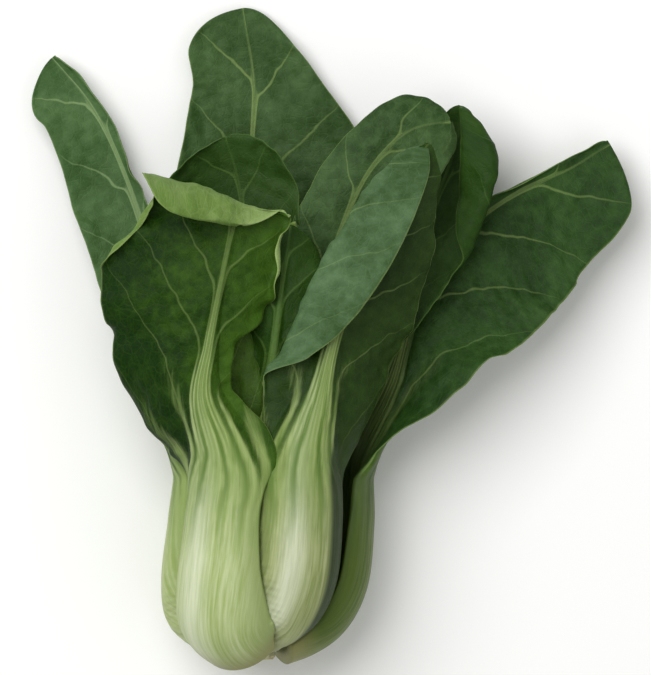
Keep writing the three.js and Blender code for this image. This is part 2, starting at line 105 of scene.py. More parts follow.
Pairs = tuple[tuple[float, float], ...]
Point = tuple[float, float, float]


class Slot(Enum):
    """Material that a piece counts as in the part's record."""

    LEAF = "leaf"
    HEART = "heart"
    STEM = "stem"


@dataclass(frozen=True)
class Profile:
    """Smooth line through (place, value) pairs, level beyond its ends."""

    knots: Pairs

    def at(self, x: np.ndarray) -> np.ndarray:
        """Reads the line.

        Args:
            x: Places to read, in any shape.

        Returns:
            The values there, in the same shape.
        """
        places = np.array([k[0] for k in self.knots])
        values = np.array([k[1] for k in self.knots])
        last = len(places) - 1
        if last == 0:
            return np.full(np.shape(x), values[0])
        before = np.maximum(np.arange(last + 1) - 1, 0)
        after = np.minimum(np.arange(last + 1) + 1, last)
        slope = (values[after] - values[before]) / (places[after] - places[before])
        x = np.clip(x, places[0], places[-1])
        i = np.clip(np.searchsorted(places, x, side="right") - 1, 0, last - 1)
        h = places[i + 1] - places[i]
        t = (x - places[i]) / h
        rise = values[i] * (1 + 2 * t) * (1 - t) ** 2 + values[i + 1] * t * t * (3 - 2 * t)
        return rise + h * (slope[i] * t * (1 - t) ** 2 + slope[i + 1] * t * t * (t - 1))


def level(value: float) -> Profile:
    """Profile with one value everywhere."""
    return Profile(((0.0, value),))


def smooth(x: np.ndarray, low: float = 0.0, high: float = 1.0) -> np.ndarray:
    """Eases from 0 at low to 1 at high.

    Args:
        x: Places to read.
        low: Place where the rise starts.
        high: Place where the rise ends.

    Returns:
        The eased share at each place.
    """
    t = np.clip((x - low) / (high - low), 0, 1)
    return t * t * (3 - 2 * t)


AXIS_PATH = Profile(((-99, -25), (-85, -22.5), (-67, -19), (-34, -17), (0, -15)))
BULB: Pairs = ((0, 0.36), (0.05, 0.62), (0.14, 0.86), (0.32, 1), (0.65, 1.04), (1, 1.08))

# Stations run 0 at the stalk base, 1 at the neck and 2 at the blade tip
STALK_CUP: Pairs = ((0, 50), (0.8, 46))
INNER_STALK_CUP: Pairs = ((0, 40), (0.9, 40))
WIDE_STALK: Pairs = ((0, 14), (0.12, 18), (0.3, 18.5), (0.7, 17.8))
MID_STALK: Pairs = ((0, 9.5), (0.12, 14), (0.3, 16.8), (0.7, 16))
NARROW_STALK: Pairs = ((0, 8), (0.12, 11.5), (0.3, 14.5), (0.7, 14.5))
INNER_STALK: Pairs = ((0, 6), (0.2, 10), (0.5, 12), (1, 12))
HEART_STALK: Pairs = ((0, 3), (0.3, 5.5), (1, 6))
GROWN_THICKNESS = Profile(((0, 6.5), (0.4, 7.5), (1, 5), (1.3, 3.2), (1.7, 1.6), (2, 0.8)))
INNER_THICKNESS = Profile(((0, 4.5), (0.4, 5.2), (1, 4), (1.3, 2.6), (1.7, 1.4), (2, 0.8)))
HEART_THICKNESS = Profile(((0, 3), (0.5, 3.2), (1, 2.4), (1.5, 1.6), (2, 0.8)))
RIB_HALF_WIDTH = Profile(((0, 17), (0.8, 17), (1.15, 8), (1.45, 2.4), (2, 0.9)))
BUNDLE = Profile(
    ((0, 18), (0.75, 16), (0.95, 10.5), (1.12, 5.5), (1.3, 2.2), (1.6, 0.9), (2, 0.35))
)


def cupped(*knots: tuple[float, float]) -> Profile:
    """Cup of a grown leaf: that of its stalk, then the blade's own."""
    return Profile((*STALK_CUP, *knots))


def inner_cupped(*knots: tuple[float, float]) -> Profile:
    """Cup of an inner leaf: that of its stalk, then the blade's own."""
    return Profile((*INNER_STALK_CUP, *knots))


def axis_point(y: float) -> np.ndarray:
    """Middle of the head at one place along it."""
    return np.array([float(AXIS_PATH.at(np.array(y))), y, AXIS_HEIGHT])


class Tone:
    """Colour given as screen values of 0 to 255 and kept as linear light."""

    def __init__(self, red: int, green: int, blue: int) -> None:
        """Turns the three screen values into linear light."""
        self.linear = tuple(self._linear(v / 255) for v in (red, green, blue)) + (1.0,)

    @staticmethod
    def _linear(value: float) -> float:
        """Linear light for a screen value of 0 to 1."""
        return value / 12.92 if value <= 0.04045 else ((value + 0.055) / 1.055) ** 2.4


class Wire:
    """Socket that takes part in arithmetic, each step adding its own Math node."""

    def __init__(self, book: "NodeBook", socket: bpy.types.NodeSocket) -> None:
        """Holds the socket and the book that its nodes go in."""
        self.book = book
        self.socket = socket

    def _math(self, operation: str, *values: Any) -> "Wire":
        """Adds one Math node.

        Args:
            operation: The node's operation.
            values: Its inputs, as wires or numbers.

        Returns:
            The node's result.
        """
        return self.book.node("ShaderNodeMath", {"operation": operation}, dict(enumerate(values)))

    def __add__(self, other: Any) -> "Wire":
        """Sum of the two."""
        return self._math("ADD", self, other)

    __radd__ = __add__

    def __sub__(self, other: Any) -> "Wire":
        """This less the other."""
        return self._math("SUBTRACT", self, other)

    def __rsub__(self, other: Any) -> "Wire":
        """The other less this."""
        return self._math("SUBTRACT", other, self)

    def __mul__(self, other: Any) -> "Wire":
        """Product of the two."""
        return self._math("MULTIPLY", self, other)

    __rmul__ = __mul__

    def __truediv__(self, other: Any) -> "Wire":
        """This shared by the other."""
        return self._math("DIVIDE", self, other)

    def absolute(self) -> "Wire":
        """Size without its sign."""
        return self._math("ABSOLUTE", self)

    def fraction(self) -> "Wire":
        """Part after the whole number."""
        return self._math("FRACT", self)

    def most(self, other: Any) -> "Wire":
        """Larger of the two."""
        return self._math("MAXIMUM", self, other)

    def ease(self, low: Any, high: Any) -> "Wire":
        """Eases from 0 at low to 1 at high; low may be the larger one.

        Args:
            low: Place where the rise starts, as a wire or a number.
            high: Place where the rise ends.

        Returns:
            The eased share.
        """
        if isinstance(low, (int, float)) and isinstance(high, (int, float)) and low > high:
            return 1 - self.ease(high, low)
        values = {"Value": self, "From Min": low, "From Max": high}
        return self.book.node("ShaderNodeMapRange", {"interpolation_type": "SMOOTHSTEP"}, values)


class NodeBook:
    """Material's node tree with short ways to add to it."""

    def __init__(self, name: str) -> None:
        """Starts an empty material.

        Args:
            name: Name for the material.
        """
        self.material = bpy.data.materials.new(name)
        self.material.use_nodes = True
        self.tree = self.material.node_tree
        self.tree.nodes.clear()

    def node(
        self, kind: str, settings: dict[str, Any], values: dict[Any, Any], result: Any = 0
    ) -> Wire:
        """Adds a node.

        Args:
            kind: The node's type.
            settings: Its own settings, set first.
            values: Input sockets by name or number, as wires or constants.
            result: Name or number of the output to return.

        Returns:
            That output.
        """
        made = self.tree.nodes.new(kind)
        for key, value in settings.items():
            setattr(made, key, value)
        for key, value in values.items():
            if isinstance(value, Wire):
                self.tree.links.new(value.socket, made.inputs[key])
            else:
                made.inputs[key].default_value = value
        return Wire(self, made.outputs[result])

    def attribute(self, name: str) -> Wire:
        """Number that the piece carries at each point."""
        return self.node("ShaderNodeAttribute", {"attribute_name": name}, {}, "Fac")

    def mix(self, share: Any, first: Any, second: Any) -> Wire:
        """Blends two colours.

        Args:
            share: How much of the second one, from 0 to 1.
            first: Colour as a Tone or a wire.
            second: Colour as a Tone or a wire.

        Returns:
            The blended colour.
        """
        a, b = (c.linear if isinstance(c, Tone) else c for c in (first, second))
        return self.node("ShaderNodeMix", {"data_type": "RGBA"}, {0: share, 6: a, 7: b}, 2)

    def noise(self, where: Wire, scale: float, detail: float = 2.0, rough: float = 0.5) -> Wire:
        """Cloudy pattern.

        Args:
            where: Coordinates to read it at.
            scale: Clouds to a unit of those coordinates.
            detail: Octaves of finer clouds.
            rough: Strength of the finer clouds.

        Returns:
            Its strength, about 0.5 on average.
        """
        values = {"Vector": where, "Scale": scale, "Detail": detail, "Roughness": rough}
        return self.node("ShaderNodeTexNoise", {}, values, "Fac")

    def cells(self, where: Wire, scale: float) -> Wire:
        """Distance to the nearest edge of a net of cells.

        Args:
            where: Coordinates to read it at.
            scale: Cells to a unit of those coordinates.

        Returns:
            The distance, 0 on an edge.
        """
        settings = {"feature": "DISTANCE_TO_EDGE"}
        values = {"Vector": where, "Scale": scale, "Randomness": 1.0}
        return self.node("ShaderNodeTexVoronoi", settings, values, "Distance")

    def bump(self, height: Wire, strength: float, depth: float) -> Wire:
        """Surface direction disturbed by fine relief.

        Args:
            height: The relief.
            strength: How much it counts, from 0 to 1.
            depth: Metres that the relief stands high.

        Returns:
            The disturbed direction.
        """
        values = {"Strength": strength, "Distance": depth, "Height": height}
        return self.node("ShaderNodeBump", {}, values)

    def stretched(self, where: Wire, x: float, y: float, shift: float = 0.0) -> Wire:
        """Coordinates drawn out along x and y.

        Args:
            where: Coordinates to change.
            x: Factor along x.
            y: Factor along y.
            shift: Move that picks another part of the pattern.

        Returns:
            The changed coordinates.
        """
        values = {"Vector": where, "Scale": (x, y, 1.0), "Location": (shift, shift, 0.0)}
        return self.node("ShaderNodeMapping", {}, values)

    def close(self, shader: Wire) -> bpy.types.Material:
        """Joins the shader to the surface.

        Args:
            shader: The shader that the nodes ended in.

        Returns:
            The finished material.
        """
        output = self.tree.nodes.new("ShaderNodeOutputMaterial")
        self.tree.links.new(shader.socket, output.inputs["Surface"])
        return self.material


@dataclass(frozen=True)
class LeafFinish:
    """Colours and gloss of one leaf, from its fleshy stalk to its green blade.

    The back is the outer face, and the face is the one turned to the heart.
    """

    ridge: Tone = Tone(184, 195, 148)
    groove: Tone = Tone(146, 164, 98)
    # Painted highlight: pale tone of a stripe down the stalk
    painted_highlight: Tone = Tone(218, 223, 200)
    # Painted shade: darker tone towards the stalk's edges, where it turns away from the light
    edge: Tone = Tone(132, 152, 84)
    # Place, width and strength across the stalk of the painted highlight stripe
    highlight_at: float = 0.0
    highlight_width: float = 0.3
    highlight_strength: float = 0.0
    neck: Tone = Tone(138, 158, 90)
    valley: Tone = Tone(72, 104, 32)
    # Painted shade: darker tone towards the stalk's base
    foot: Tone = Tone(134, 134, 84)
    # Painted shade: dark tone over one side of the stalk, between two signed shares across it
    side: Tone = Tone(60, 78, 14)
    shade_from: float = 2.0
    shade_to: float = 3.0
    back_deep: Tone = Tone(40, 68, 6)
    back_light: Tone = Tone(76, 106, 36)
    face_deep: Tone = Tone(44, 74, 24)
    face_light: Tone = Tone(84, 114, 64)
    vein: Tone = Tone(146, 170, 98)
    # Painted shade: tilts the blade's tone lighter on one half and darker on the other
    painted_shade_lean: float = 0.0
    green_from: float = 1.0
    vein_strength: float = 0.4
    rib_strength: float = 0.7
    gloss: float = 0.15
    seed: float = 0.0

    def material(self, name: str) -> bpy.types.Material:
        """Builds the leaf's material.

        Args:
            name: Name for the material.

        Returns:
            The finished material.
        """
        book = NodeBook(name)
        skin = LeafSkin(book, self.seed)
        green = self._green(skin)
        veined = self._veined(skin)
        colour = book.mix(green, self._flesh(skin), self._blade(skin, veined))
        soft = (skin.crest * 0.3 + skin.streak * 0.5) * (1 - green)
        crisp = veined * 0.6 + skin.net * 0.4 + skin.small_net * 0.2 + skin.mottle * 0.5
        values = {
            "Base Color": colour,
            "Roughness": 0.46 + green * 0.1 + (skin.mottle - 0.5) * 0.2,
            "Normal": book.bump(soft + crisp * green, 0.3, 0.0006),
            "Specular IOR Level": self.gloss,
            "Subsurface Weight": 0.06,
            "Subsurface Radius": (1.0, 1.3, 0.4),
            "Subsurface Scale": 0.0014,
        }
        return book.close(book.node("ShaderNodeBsdfPrincipled", {}, values))

    def _green(self, skin: "LeafSkin") -> Wire:
        """How much of the surface is green blade and not pale stalk.

        Args:
            skin: The leaf's measures and patterns.

        Returns:
            The share, which climbs later along the ribs than between them.
        """
        within = (skin.reach / skin.bundle).ease(1.5, 0.5)
        climb = skin.station + skin.share * 0.16 - within * 0.26
        climb = climb + (skin.streak - 0.5) * 0.4 + (skin.fine - 0.5) * 0.16
        climb = climb + (0.45 - skin.thread) * 0.34
        return climb.ease(self.green_from - 0.14, self.green_from + 0.2)

    def _flesh(self, skin: "LeafSkin") -> Wire:
        """Colour of the stalk, from its beige foot through pale ribs to its green neck, with
        painted shade at its foot and sides and a painted highlight stripe.

        Args:
            skin: The leaf's measures and patterns.

        Returns:
            The colour.
        """
        mix, station = skin.book.mix, skin.station
        pale = skin.crest * 0.2 + skin.streak.ease(0.32, 0.68) * 0.75
        flesh = mix(pale, self.groove, self.ridge)
        flesh = mix(skin.fine.ease(0.42, 0.72) * 0.2, flesh, self.groove)
        # Painted highlight: a pale stripe down the stalk
        highlight_stripe = ((skin.signed - self.highlight_at).absolute()).ease(self.highlight_width, 0.0)
        flesh = mix(highlight_stripe * (0.55 + skin.streak * 0.8) * self.highlight_strength, flesh, self.painted_highlight)
        # Painted shade towards both edges of the stalk
        flesh = mix(skin.share.ease(0.45, 0.9) * 0.85, flesh, self.edge)
        flesh = mix(station.ease(0.5, 1.0) * 0.75, flesh, self.neck)
        hollow = (1 - skin.crest * 0.7 - skin.thread * 0.3) * 0.9
        flesh = mix(station.ease(0.45, 1.1) * hollow, flesh, self.valley)
        # Painted shade towards the stalk's base
        flesh = mix(station.ease(0.17, 0.0) * 0.9, flesh, self.foot)
        # Painted shade over one side of the stalk
        return mix(skin.signed.ease(self.shade_from, self.shade_to), flesh, self.side)

    def _veined(self, skin: "LeafSkin") -> Wire:
        """Where the midrib and the side veins run in the blade.

        Args:
            skin: The leaf's measures and patterns.

        Returns:
            Their strength.
        """
        width = 0.42 * (1.3 - skin.share)
        lateral = skin.gap.ease(width, width * 0.2) * (1.1 - skin.share * 0.75)
        rib = (skin.reach / skin.bundle).ease(1.15, 0.35) * skin.station.ease(2.3, 1.0)
        strongest = (lateral * self.vein_strength).most(rib * self.rib_strength)
        return strongest * skin.station.ease(0.7, 1.0)

    def _blade(self, skin: "LeafSkin", veined: Wire) -> Wire:
        """Colour of the blade on both faces, mottled, netted, veined and edged.

        Args:
            skin: The leaf's measures and patterns.
            veined: Strength of its veins.

        Returns:
            The colour.
        """
        mix = skin.book.mix
        deep = mix(skin.back, self.face_deep, self.back_deep)
        light = mix(skin.back, self.face_light, self.back_light)
        tint = skin.mottle.ease(0.28, 0.8) * 0.45 + skin.broad.ease(0.3, 0.7) * 0.4
        # Painted shade: one half of the blade lighter than the other
        tint = tint + skin.signed * self.painted_shade_lean
        blade = mix(tint.ease(-0.15, 1.15), deep, light)
        blade = mix((1 - skin.net) * 0.12 + (1 - skin.small_net) * 0.08, blade, light)
        blade = mix(veined, blade, self.vein)
        return mix(skin.share.ease(0.98, 1.0) * 0.4, blade, self.vein)


class LeafSkin:
    """Measures that a leaf's points carry, and the patterns drawn on them."""

    def __init__(self, book: NodeBook, seed: float) -> None:
        """Reads the measures and lays the patterns.

        Args:
            book: Book that the nodes go in.
            seed: Picks another part of each pattern for each leaf.
        """
        self.book = book
        self.station = book.attribute("station")
        self.share = book.attribute("share")
        self.signed = book.attribute("signed_share")
        self.reach = book.attribute("reach_mm")
        self.bundle = book.attribute("bundle_mm")
        self.back = book.attribute("back")
        sheet = book.node("ShaderNodeUVMap", {"uv_map": "sheet"}, {})
        bent = book.noise(book.stretched(sheet, 1, 1, seed), 9, 2)
        phase = book.attribute("vein_phase") + (bent - 0.5) * 0.3
        off = (phase.fraction() - 0.5).absolute()
        self.gap = off * book.attribute("vein_pitch")
        self.streak = book.noise(book.stretched(sheet, 30, 1.1, seed + 3), 5, 4, 0.6)
        self.fine = book.noise(book.stretched(sheet, 90, 3, seed + 7), 9, 2)
        self.mottle = book.noise(book.stretched(sheet, 1, 1, seed + 11), 30, 5, 0.6)
        self.broad = book.noise(book.stretched(sheet, 1, 1, seed + 17), 5, 2)
        self.net = book.cells(sheet, 38).ease(0.0, 0.1)
        self.small_net = book.cells(sheet, 105).ease(0.0, 0.16)
        wide = (phase * 0.5 + (bent - 0.5) * 0.6).fraction()
        ridge = 1 - 2 * (wide - 0.5).absolute() + (self.streak - 0.5) * 1.1
        self.crest = ridge.ease(0.1, 0.85)
        self.thread = (1 - 2 * off).ease(0.1, 0.9)


@dataclass(frozen=True)
class StemFinish:
    """Pale stem with the drying, browned face that the knife left."""

    flesh: Tone = Tone(206, 208, 170)
    fibre: Tone = Tone(170, 172, 120)
    dried: Tone = Tone(136, 112, 66)

    def material(self, name: str) -> bpy.types.Material:
        """Builds the stem's material.

        Args:
            name: Name for the material.

        Returns:
            The finished material.
        """
        book = NodeBook(name)
        where = book.node("ShaderNodeTexCoord", {}, {}, "Object")
        pith = book.noise(where, 900, 4, 0.6)
        ring = book.noise(where, 240, 3)
        worn = book.attribute("cut_face")
        colour = book.mix(pith.ease(0.35, 0.7), self.flesh, self.fibre)
        colour = book.mix(worn * ring.ease(0.3, 0.62) * 0.8, colour, self.dried)
        values = {
            "Base Color": colour,
            "Roughness": 0.5 + pith * 0.3,
            "Normal": book.bump(pith + ring, 0.4, 0.0005),
            "Specular IOR Level": 0.35,
        }
        return book.close(book.node("ShaderNodeBsdfPrincipled", {}, values))


@dataclass(frozen=True)
class FloorFinish:
    """Plain pale matt surface."""

    colour: Tone = Tone(248, 248, 247)

    def material(self, name: str) -> bpy.types.Material:
        """Builds the floor's material.

        Args:
            name: Name for the material.

        Returns:
            The finished material.
        """
        book = NodeBook(name)
        where = book.node("ShaderNodeTexCoord", {}, {}, "Object")
        cloud = book.noise(where, 14, 2)
        colour = book.mix(cloud * 0.04, self.colour, Tone(236, 236, 234))
        values = {"Base Color": colour, "Roughness": 0.85, "Specular IOR Level": 0.1}
        return book.close(book.node("ShaderNodeBsdfPrincipled", {}, values))


@dataclass(frozen=True)
class Ripples:
    """Soft random waves over a sheet, the same at each run."""

    seed: int
    waves: int = 14

    def at(self, x: np.ndarray, y: np.ndarray, length: float) -> np.ndarray:
        """Height of the waves.

        Args:
            x: First coordinate, in millimetres.
            y: Second coordinate, in millimetres.
            length: Typical wave length, in millimetres.

        Returns:
            Heights of about -1 to 1.
        """
        rng = np.random.default_rng(self.seed)
        total = np.zeros(np.broadcast(x, y).shape)
        for _ in range(self.waves):
            turn, phase = rng.uniform(0, 2 * math.pi, 2)
            k = 2 * math.pi / (length * rng.uniform(0.7, 1.5))
            total += np.sin(k * (x * math.cos(turn) + y * math.sin(turn)) + phase)
        return total / math.sqrt(self.waves)


@dataclass
class Spine:
    """Middle line of a leaf with the outward and sideways directions that it carries."""

    knots: np.ndarray
    stalk_knots: int
    outward: np.ndarray
    roll: Profile
    points: np.ndarray = field(init=False)
    out: np.ndarray = field(init=False)
    across: np.ndarray = field(init=False)
    along: np.ndarray = field(init=False)
    neck: float = field(init=False)
    length: float = field(init=False)

    def __post_init__(self) -> None:
        """Spaces the points evenly and carries the directions along them."""
        pieces = len(self.knots) - 1
        t = np.linspace(0, pieces, CURVE_STEPS * pieces + 1)
        raw = self._curve(t)
        steps = np.linalg.norm(np.diff(raw, axis=0), axis=1)
        lengths = np.concatenate([[0], np.cumsum(steps)])
        self.length = float(lengths[-1])
        self.neck = float(lengths[CURVE_STEPS * (self.stalk_knots - 1)] / self.length)
        spaced = np.interp(np.linspace(0, self.length, PATH_STEPS + 1), lengths, t)
        self.points = self._curve(spaced)
        after = np.minimum(np.arange(PATH_STEPS + 1) + 1, PATH_STEPS)
        before = np.maximum(np.arange(PATH_STEPS + 1) - 1, 0)
        along = self.points[after] - self.points[before]
        self.along = along / np.linalg.norm(along, axis=1, keepdims=True)
        self._carry()

    def _curve(self, t: np.ndarray) -> np.ndarray:
        """Reads the smooth curve through the knots.

        Args:
            t: Places, one unit to a stretch between knots.

        Returns:
            Points on the curve.
        """
        p = self.knots
        padded = np.vstack([2 * p[0] - p[1], p, 2 * p[-1] - p[-2]])
        i = np.clip(np.floor(t).astype(int), 0, len(p) - 2)
        w = (t - i)[:, None]
        x0, x1, x2, x3 = (padded[i + k] for k in range(4))
        spans = ((x0, x1), (x1, x2), (x2, x3))
        dt = [np.linalg.norm(b - a, axis=1, keepdims=True) ** 0.5 for a, b in spans]
        t1 = ((x1 - x0) / dt[0] - (x2 - x0) / (dt[0] + dt[1]) + (x2 - x1) / dt[1]) * dt[1]
        t2 = ((x2 - x1) / dt[1] - (x3 - x1) / (dt[1] + dt[2]) + (x3 - x2) / dt[2]) * dt[1]
        c2 = -3 * x1 + 3 * x2 - 2 * t1 - t2
        c3 = 2 * x1 - 2 * x2 + t1 + t2
        return x1 + t1 * w + c2 * w**2 + c3 * w**3

    def _carry(self) -> None:
        """Carries the outward direction along the line, then rolls it about the line."""
        carried = np.zeros_like(self.points)
        current = self.outward
        for k, along in enumerate(self.along):
            current = current - along * float(current @ along)
            current = current / np.linalg.norm(current)
            carried[k] = current
        across = np.cross(self.along, carried)
        angle = np.radians(self.roll.at(self.station(np.linspace(0, 1, PATH_STEPS + 1))))[:, None]
        self.out = carried * np.cos(angle) + np.cross(self.along, carried) * np.sin(angle)
        self.across = across * np.cos(angle) + np.cross(self.along, across) * np.sin(angle)

    def station(self, t: np.ndarray) -> np.ndarray:
        """Station for each share of the length: 0 base, 1 neck, 2 tip."""
        return np.where(t < self.neck, t / self.neck, 1 + (t - self.neck) / (1 - self.neck))

    def frames(self, t: np.ndarray) -> tuple[np.ndarray, np.ndarray, np.ndarray]:
        """Frames of the line.

        Args:
            t: Shares of the length.

        Returns:
            Points, outward directions and sideways directions.
        """
        grid = np.linspace(0, 1, PATH_STEPS + 1)

        def read(values: np.ndarray) -> np.ndarray:
            """Reads one set of vectors at t."""
            return np.stack([np.interp(t, grid, values[:, i]) for i in range(3)], axis=1)

        out, across = read(self.out), read(self.across)
        out /= np.linalg.norm(out, axis=1, keepdims=True)
        across /= np.linalg.norm(across, axis=1, keepdims=True)
        return read(self.points), out, across


@dataclass(frozen=True)
class LeafShape:
    """Sizes of one leaf in millimetres and degrees, left and right as seen on its back, tip up."""

    azimuth: float
    ring: float
    base: float
    blade: tuple[Point, ...]
    left: Pairs
    right: Pairs
    cup_left: Profile
    cup_right: Profile
    roll: Profile = level(0)
    fold_left: Profile = level(0)
    fold_right: Profile = level(0)
    fold_at_left: Profile = level(0.5)
    fold_at_right: Profile = level(0.5)
    fold_span: float = 0.22
    thickness: Profile = GROWN_THICKNESS
    ruffle: float = 0.0
    waves: float = 5.0
    tip: float = 0.1
    rows: int = 300
    columns: int = 56
    veins: float = 5.5
    seed: int = 1

    def spine(self) -> Spine:
        """Lays the middle line along the bulb and then through the blade's own points.

        Returns:
            The middle line.
        """
        angle = math.radians(self.azimuth)
        outward = np.array([math.sin(angle), 0.0, math.cos(angle)])
        knots = []
        for share, spread in BULB:
            middle = axis_point(self.base + (NECK_Y - self.base) * share)
            knots.append(middle + outward * spread * self.ring)
        knots += [np.array(p, float) for p in self.blade]
        return Spine(np.array(knots), len(BULB), outward, self.roll)


@dataclass
class Lattice:
    """Leaf surface on a grid of rows by columns."""

    inner: np.ndarray
    outer: np.ndarray
    normal: np.ndarray
    station: np.ndarray
    share: np.ndarray
    reach: np.ndarray
    length: np.ndarray


def dressed(
    name: str, mesh: bpy.types.Mesh, finish: bpy.types.Material, node: str
) -> bpy.types.Object:
    """Makes a piece of a mesh and puts it in the place of its node.

    Args:
        name: The piece's name.
        mesh: Its mesh, in metres.
        finish: Its material.
        node: Node of the frame that it stands for.

    Returns:
        The finished piece.
    """
    for polygon in mesh.polygons:
        polygon.use_smooth = True
    mesh.materials.append(finish)
    piece = bpy.data.objects.new(name, mesh)
    bpy.context.scene.collection.objects.link(piece)
    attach(piece, "root")
    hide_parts(node)
    return piece


class Leaf:
    """One leaf: a flat blank that is cupped, folded, ribbed and veined, then dressed."""

    def __init__(self, node: str, slot: Slot, shape: LeafShape, finish: LeafFinish) -> None:
        """Holds what the leaf is made from and lays its middle line.

        Args:
            node: Node of the frame that it stands for.
            slot: What it counts as in the part's record; not used.
            shape: Its sizes.
            finish: Its colours and gloss.
        """
        self.node = node
        self.slot = slot
        self.shape = shape
        self.finish = finish
        self.spine = shape.spine()
        self.coarse: Lattice | None = None
        self.push: np.ndarray | None = None

    def row_shares(self, rows: int) -> np.ndarray:
        """Places of the rows along the leaf, closer where it bends and round the tip.

        Args:
            rows: Number of strips between rows.

        Returns:
            Shares of the length, from 0 to 1.
        """
        tip_rows = max(rows // 9, 3)
        body = rows - tip_rows
        start = 1 - self.shape.tip
        along = self.spine.along
        turn = np.arccos(np.clip(np.sum(along[1:] * along[:-1], axis=1), -1, 1))
        sums = np.concatenate([[0], np.cumsum(1 / PATH_STEPS + turn * ROW_CROWDING)])
        grid = np.linspace(0, 1, PATH_STEPS + 1)
        limit = np.interp(start, grid, sums)
        lower = np.interp(np.linspace(0, limit, body + 1), sums, grid)
        upper = start + self.shape.tip * np.sin(np.linspace(0, math.pi / 2, tip_rows + 1)[1:])
        return np.concatenate([lower, upper])

    def _half(self, t: np.ndarray, side: int, places: np.ndarray) -> dict[str, np.ndarray]:
        """Cross-sections of one half of the leaf.

        Args:
            t: Shares of the length.
            side: 1 for the right half, -1 for the left.
            places: Even places across, from 0 at the middle line to 1 at the margin.

        Returns:
            Share, angle, reach and drop on the grid, and the half's width by row.
        """
        shape = self.shape
        station = self.spine.station(t)
        width = Profile(shape.right if side > 0 else shape.left).at(station)
        end = np.clip((t - 1 + shape.tip) / shape.tip, 0, 1)
        width = np.maximum(width * np.sqrt(1 - end**2), TIP_HALF_WIDTH)
        cup = (shape.cup_right if side > 0 else shape.cup_left).at(station)
        fold = (shape.fold_right if side > 0 else shape.fold_left).at(station)
        at = (shape.fold_at_right if side > 0 else shape.fold_at_left).at(station)
        s = np.linspace(0, 1, SECTION_STEPS + 1)[None, :]
        folded = fold[:, None] * smooth((s - at[:, None]) / shape.fold_span)
        angle = np.radians(cup[:, None] * s + folded)
        mean = (angle[:, 1:] + angle[:, :-1]) / 2
        zero = np.zeros((len(t), 1))
        step = width[:, None] / SECTION_STEPS
        reach = np.hstack([zero, np.cumsum(np.cos(mean), axis=1)]) * step
        drop = np.hstack([zero, np.cumsum(np.sin(mean), axis=1)]) * step
        crowd = 1 / SECTION_STEPS + np.abs(np.diff(angle, axis=1)) * COLUMN_CROWDING
        spread = np.hstack([zero, np.cumsum(crowd, axis=1)])
        given = {"share": s.repeat(len(t), axis=0), "angle": angle, "reach": reach, "drop": drop}
        found = {"width": width}
        for key, values in given.items():
            rows = zip(spread, values)
            found[key] = np.stack([np.interp(places * k[-1], k, v) for k, v in rows])
        return found

    def lattice(self, rows: int, columns: int) -> Lattice:
        """Surface of the leaf before its fine relief.

        Args:
            rows: Strips along the leaf.
            columns: Strips across each half.

        Returns:
            Grids of rows + 1 by 2 * columns + 1 points.
        """
        shape = self.shape
        t = self.row_shares(rows)
        station = self.spine.station(t)
        point, out, across = self.spine.frames(t)
        places = np.linspace(0, 1, columns + 1)
        halves = {side: self._half(t, side, places) for side in (-1, 1)}
        grid: dict[str, np.ndarray] = {}
        for key in ("share", "angle", "reach", "drop"):
            grid[key] = np.hstack([halves[-1][key][:, :0:-1], halves[1][key]])
        side = np.concatenate([-np.ones(columns), np.ones(columns + 1)])[None, :]
        width = np.where(side < 0, halves[-1]["width"][:, None], halves[1]["width"][:, None])
        reach_mm = grid["share"] * width
        st = station[:, None] * np.ones_like(reach_mm)
        normal = out[:, None, :] * np.cos(grid["angle"])[..., None]
        normal = normal + across[:, None, :] * (side * np.sin(grid["angle"]))[..., None]
        wave = np.sin(2 * math.pi * shape.waves * (st - 1) + np.where(side > 0, 0, 1.3))
        ruffle = shape.ruffle * grid["share"] ** 3 * wave * smooth((st - 1) / 0.2)
        base = point[:, None, :] + across[:, None, :] * (side * grid["reach"])[..., None]
        base = base - out[:, None, :] * grid["drop"][..., None] + normal * ruffle[..., None]
        edge = STALK_EDGE - (STALK_EDGE - BLADE_EDGE) * smooth(st)
        crown = np.maximum(shape.thickness.at(st) - edge, 0)
        thick = edge + crown * np.maximum(1 - (reach_mm / RIB_HALF_WIDTH.at(st)) ** 2, 0)
        length = t[:, None] * self.spine.length * np.ones_like(reach_mm)
        outer = base + normal * thick[..., None]
        return Lattice(base, outer, normal, st, grid["share"], reach_mm * side, length)

    def veins(self, sheet: Lattice) -> tuple[np.ndarray, np.ndarray]:
        """Numbering of the veins: parallel ribs in the stalk that fan out into the blade.

        Args:
            sheet: The leaf's surface.

        Returns:
            The running number of the nearest vein, and the millimetres from one vein to the next.
        """
        away = np.abs(sheet.reach)
        neck = self.spine.neck * self.spine.length
        blade = self.spine.length - neck
        bundle = BUNDLE.at(sheet.station)
        free = np.maximum(away - bundle, 0)
        start = sheet.length - neck - 1.2 * free + 0.004 * free**2
        fan = 1 - (start + 0.12 * blade) / (1.12 * blade)
        inside = away / bundle
        fan = fan * inside / (1 + inside**4) ** 0.25
        turn = smooth(sheet.station, 0.7, 1.05)
        number = (sheet.share * (1 - turn) + fan * turn) * self.shape.veins
        width_step = np.maximum(np.abs(np.gradient(sheet.reach, axis=1)), 1e-3)
        length_step = np.maximum(np.gradient(sheet.length, axis=0), 1e-3)
        across = np.gradient(number, axis=1) / width_step
        across[:, number.shape[1] // 2] = across[:, number.shape[1] // 2 + 1]
        drift = np.gradient(sheet.reach, axis=0) / length_step
        along = np.gradient(number, axis=0) / length_step - across * drift
        pitch = 1 / np.maximum(np.hypot(across, along), 1 / WIDEST_VEIN_GAP)
        return number + 0.5 + 0.27 * (sheet.reach >= 0), pitch

